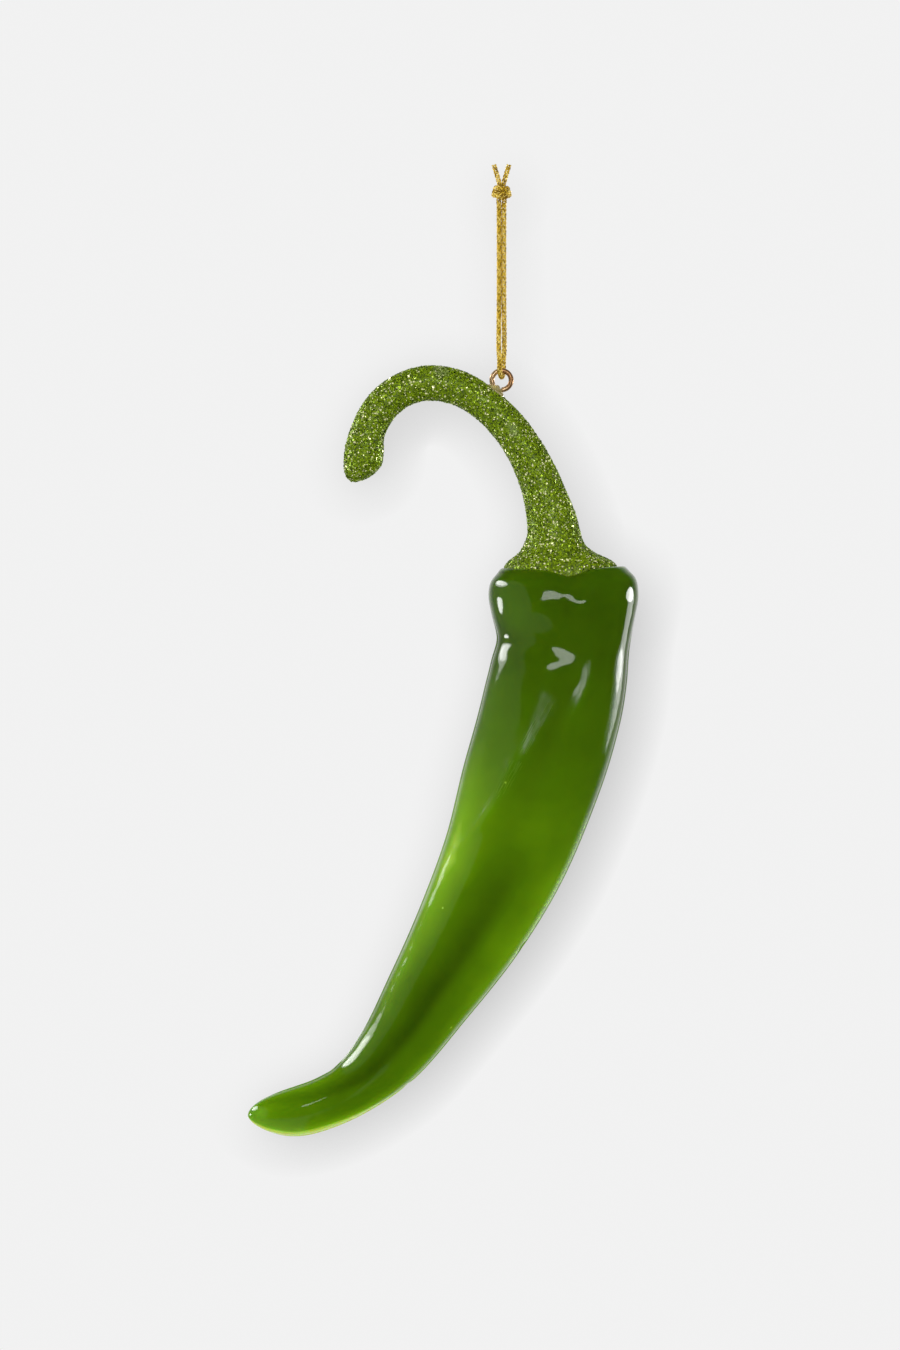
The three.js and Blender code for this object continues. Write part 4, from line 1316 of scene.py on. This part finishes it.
@dataclass
class Studio:
    """The camera, the lamps, the pale room, its floor and the sheet behind the ornament."""

    picture_height: float = 0.27
    picture_middle: tuple[float, float] = (-0.0103, -0.09446)
    camera_distance: float = 1.2
    sensor: float = 0.036
    room_colour: Colour = (0.884, 0.884, 0.884)
    light_from: tuple[float, float, float] = (-0.45, -0.45, 0.77)
    light_span: tuple[float, float] = (0.6, 1.45)
    dark_level: float = 0.03
    dim_level: float = 0.28
    floor_height: float = -0.33
    floor_size: tuple[float, float] = (1.2, 1.2)
    sheet_depth: float = 0.0065
    sheet_size: tuple[float, float] = (0.34, 0.4)
    lamps: list[Lamp] = field(default_factory=lambda: [
        Lamp("front_box", 5, 17, 1.1, 0.8, 0.29, 4.5),
        Lamp("front_core", 5, 17, 1.1, 0.6, 0.16, 5.0),
        Lamp("low_left_box", -106, -7, 0.9, 0.26, 0.2, 11.0),
        Lamp("left_box", -111, 24, 0.9, 0.66, 0.28, 4.0),
        Lamp("left_core", -111, 25.5, 0.9, 0.5, 0.2, 6.0),
        Lamp("right_box", 112, 2, 0.9, 0.4, 0.26, 10.0),
        Lamp("low_right_box", 118, -3, 0.9, 0.36, 0.36, 3.5),
    ])

    def camera(self) -> None:
        """Sets the camera level with the middle of the picture, straight in front."""
        data = bpy.data.cameras.new("camera")
        data.lens = self.sensor * self.camera_distance / self.picture_height * 1000
        data.sensor_width = self.sensor * 1000
        data.clip_start, data.clip_end = 0.01, 20.0
        camera = bpy.data.objects.new("camera", data)
        camera.location = (self.picture_middle[0], -self.camera_distance, self.picture_middle[1])
        camera.rotation_euler = (math.pi / 2, 0.0, 0.0)
        bpy.context.scene.collection.objects.link(camera)
        bpy.context.scene.camera = camera

    def room(self) -> None:
        """Sets the pale room.

        It lights matt surfaces from the upper left, shows gloss its pale far end and its dark camera side, and is
        one even tone to the camera and through clear parts.
        """
        world = bpy.data.worlds.new("room")
        bpy.context.scene.world = world
        world.use_nodes = True
        n = Nodes(world.node_tree, "ShaderNodeOutputWorld")
        path = n.node("LightPath").outputs
        towards = n.node("TexCoord").outputs["Generated"]
        lit = n.node("VectorMath", {0: towards, 1: self.light_from}, operation="DOT_PRODUCT").outputs["Value"]
        matt = n.node("MapRange", {"Value": lit, "From Min": -1.0, "To Min": self.light_span[0],
                                   "To Max": self.light_span[1]}).outputs["Result"]
        x, y, z = n.node("SeparateXYZ", {0: towards}).outputs
        below = n.maths("MULTIPLY", n.between(z, -0.4, -0.47), n.between(x, 0.2, 0.0))
        far_left = n.between(x, -0.7, -0.78)
        dim = n.between(n.maths("MAXIMUM", below, far_left), 0.0, 1.0, self.dark_level, self.dim_level)
        gloss = n.maths("MAXIMUM", n.between(y, 0.5, 0.97), dim)
        plain = n.maths("MAXIMUM", path["Is Camera Ray"], path["Is Transmission Ray"])
        strength = n.node("Mix", {0: path["Is Diffuse Ray"], 2: gloss, 3: matt}).outputs[0]
        strength = n.node("Mix", {0: plain, 2: strength, 3: 1.0}).outputs[0]
        sky = n.node("Background", {"Color": self.room_colour, "Strength": strength})
        n.tree.links.new(sky.outputs[0], n.output.inputs["Surface"])

    def surfaces(self) -> None:
        """Lays the floor, and hangs the clear sheet that takes the ornament's soft shade close behind it."""
        floor = self.plane("floor", self.floor_size, FloorFinish())
        floor.location = (0.0, 0.0, self.floor_height)
        floor.visible_glossy = False
        sheet = self.plane("shade_sheet", self.sheet_size, ShadeFinish())
        sheet.rotation_euler = (math.pi / 2, 0.0, 0.0)
        sheet.location = (self.picture_middle[0], self.sheet_depth, self.picture_middle[1])
        sheet.visible_glossy = sheet.visible_transmission = sheet.visible_diffuse = sheet.visible_shadow = False
        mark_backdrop(floor, sheet)

    def plane(self, name: str, size: tuple[float, float], finish: Finish) -> Piece:
        """A flat sheet, with its width and height in metres."""
        x, y = size[0] / 2 / MM, size[1] / 2 / MM
        piece = mesh_piece(name, np.array([[-x, -y, 0], [x, -y, 0], [x, y, 0], [-x, y, 0]]), [[0, 1, 2, 3]], False)
        piece.data.materials.append(finish.material())
        return piece

    def build(self) -> None:
        """Builds the studio."""
        bpy.context.scene.view_settings.view_transform = "Standard"
        self.camera()
        self.room()
        self.surfaces()
        aim = Vector((self.picture_middle[0], 0.0, self.picture_middle[1]))
        for lamp in self.lamps:
            lamp.build(aim)


def main() -> None:
    """Builds the studio and the ornament."""
    Studio().build()
    chilli = Chilli()
    stem = Stem(chilli)
    eye = ScrewEye(stem)
    Cord(eye).build()
    eye.build_eye()
    eye.build_glue()
    stem.build(eye.place)
    chilli.build(eye.place)
    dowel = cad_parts["stem_dowel"]
    dowel.data.materials.clear()
    dowel.data.materials.append(SteelFinish().material())
    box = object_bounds()
    for axis in range(3):
        low, high = ((box[k][axis] - CAD_BOX[k][axis]) / MM for k in (0, 1))
        log.info("axis %d: low end moved %.2f mm, high end moved %.2f mm", axis, low, high)


if __name__ == "__main__":
    main()
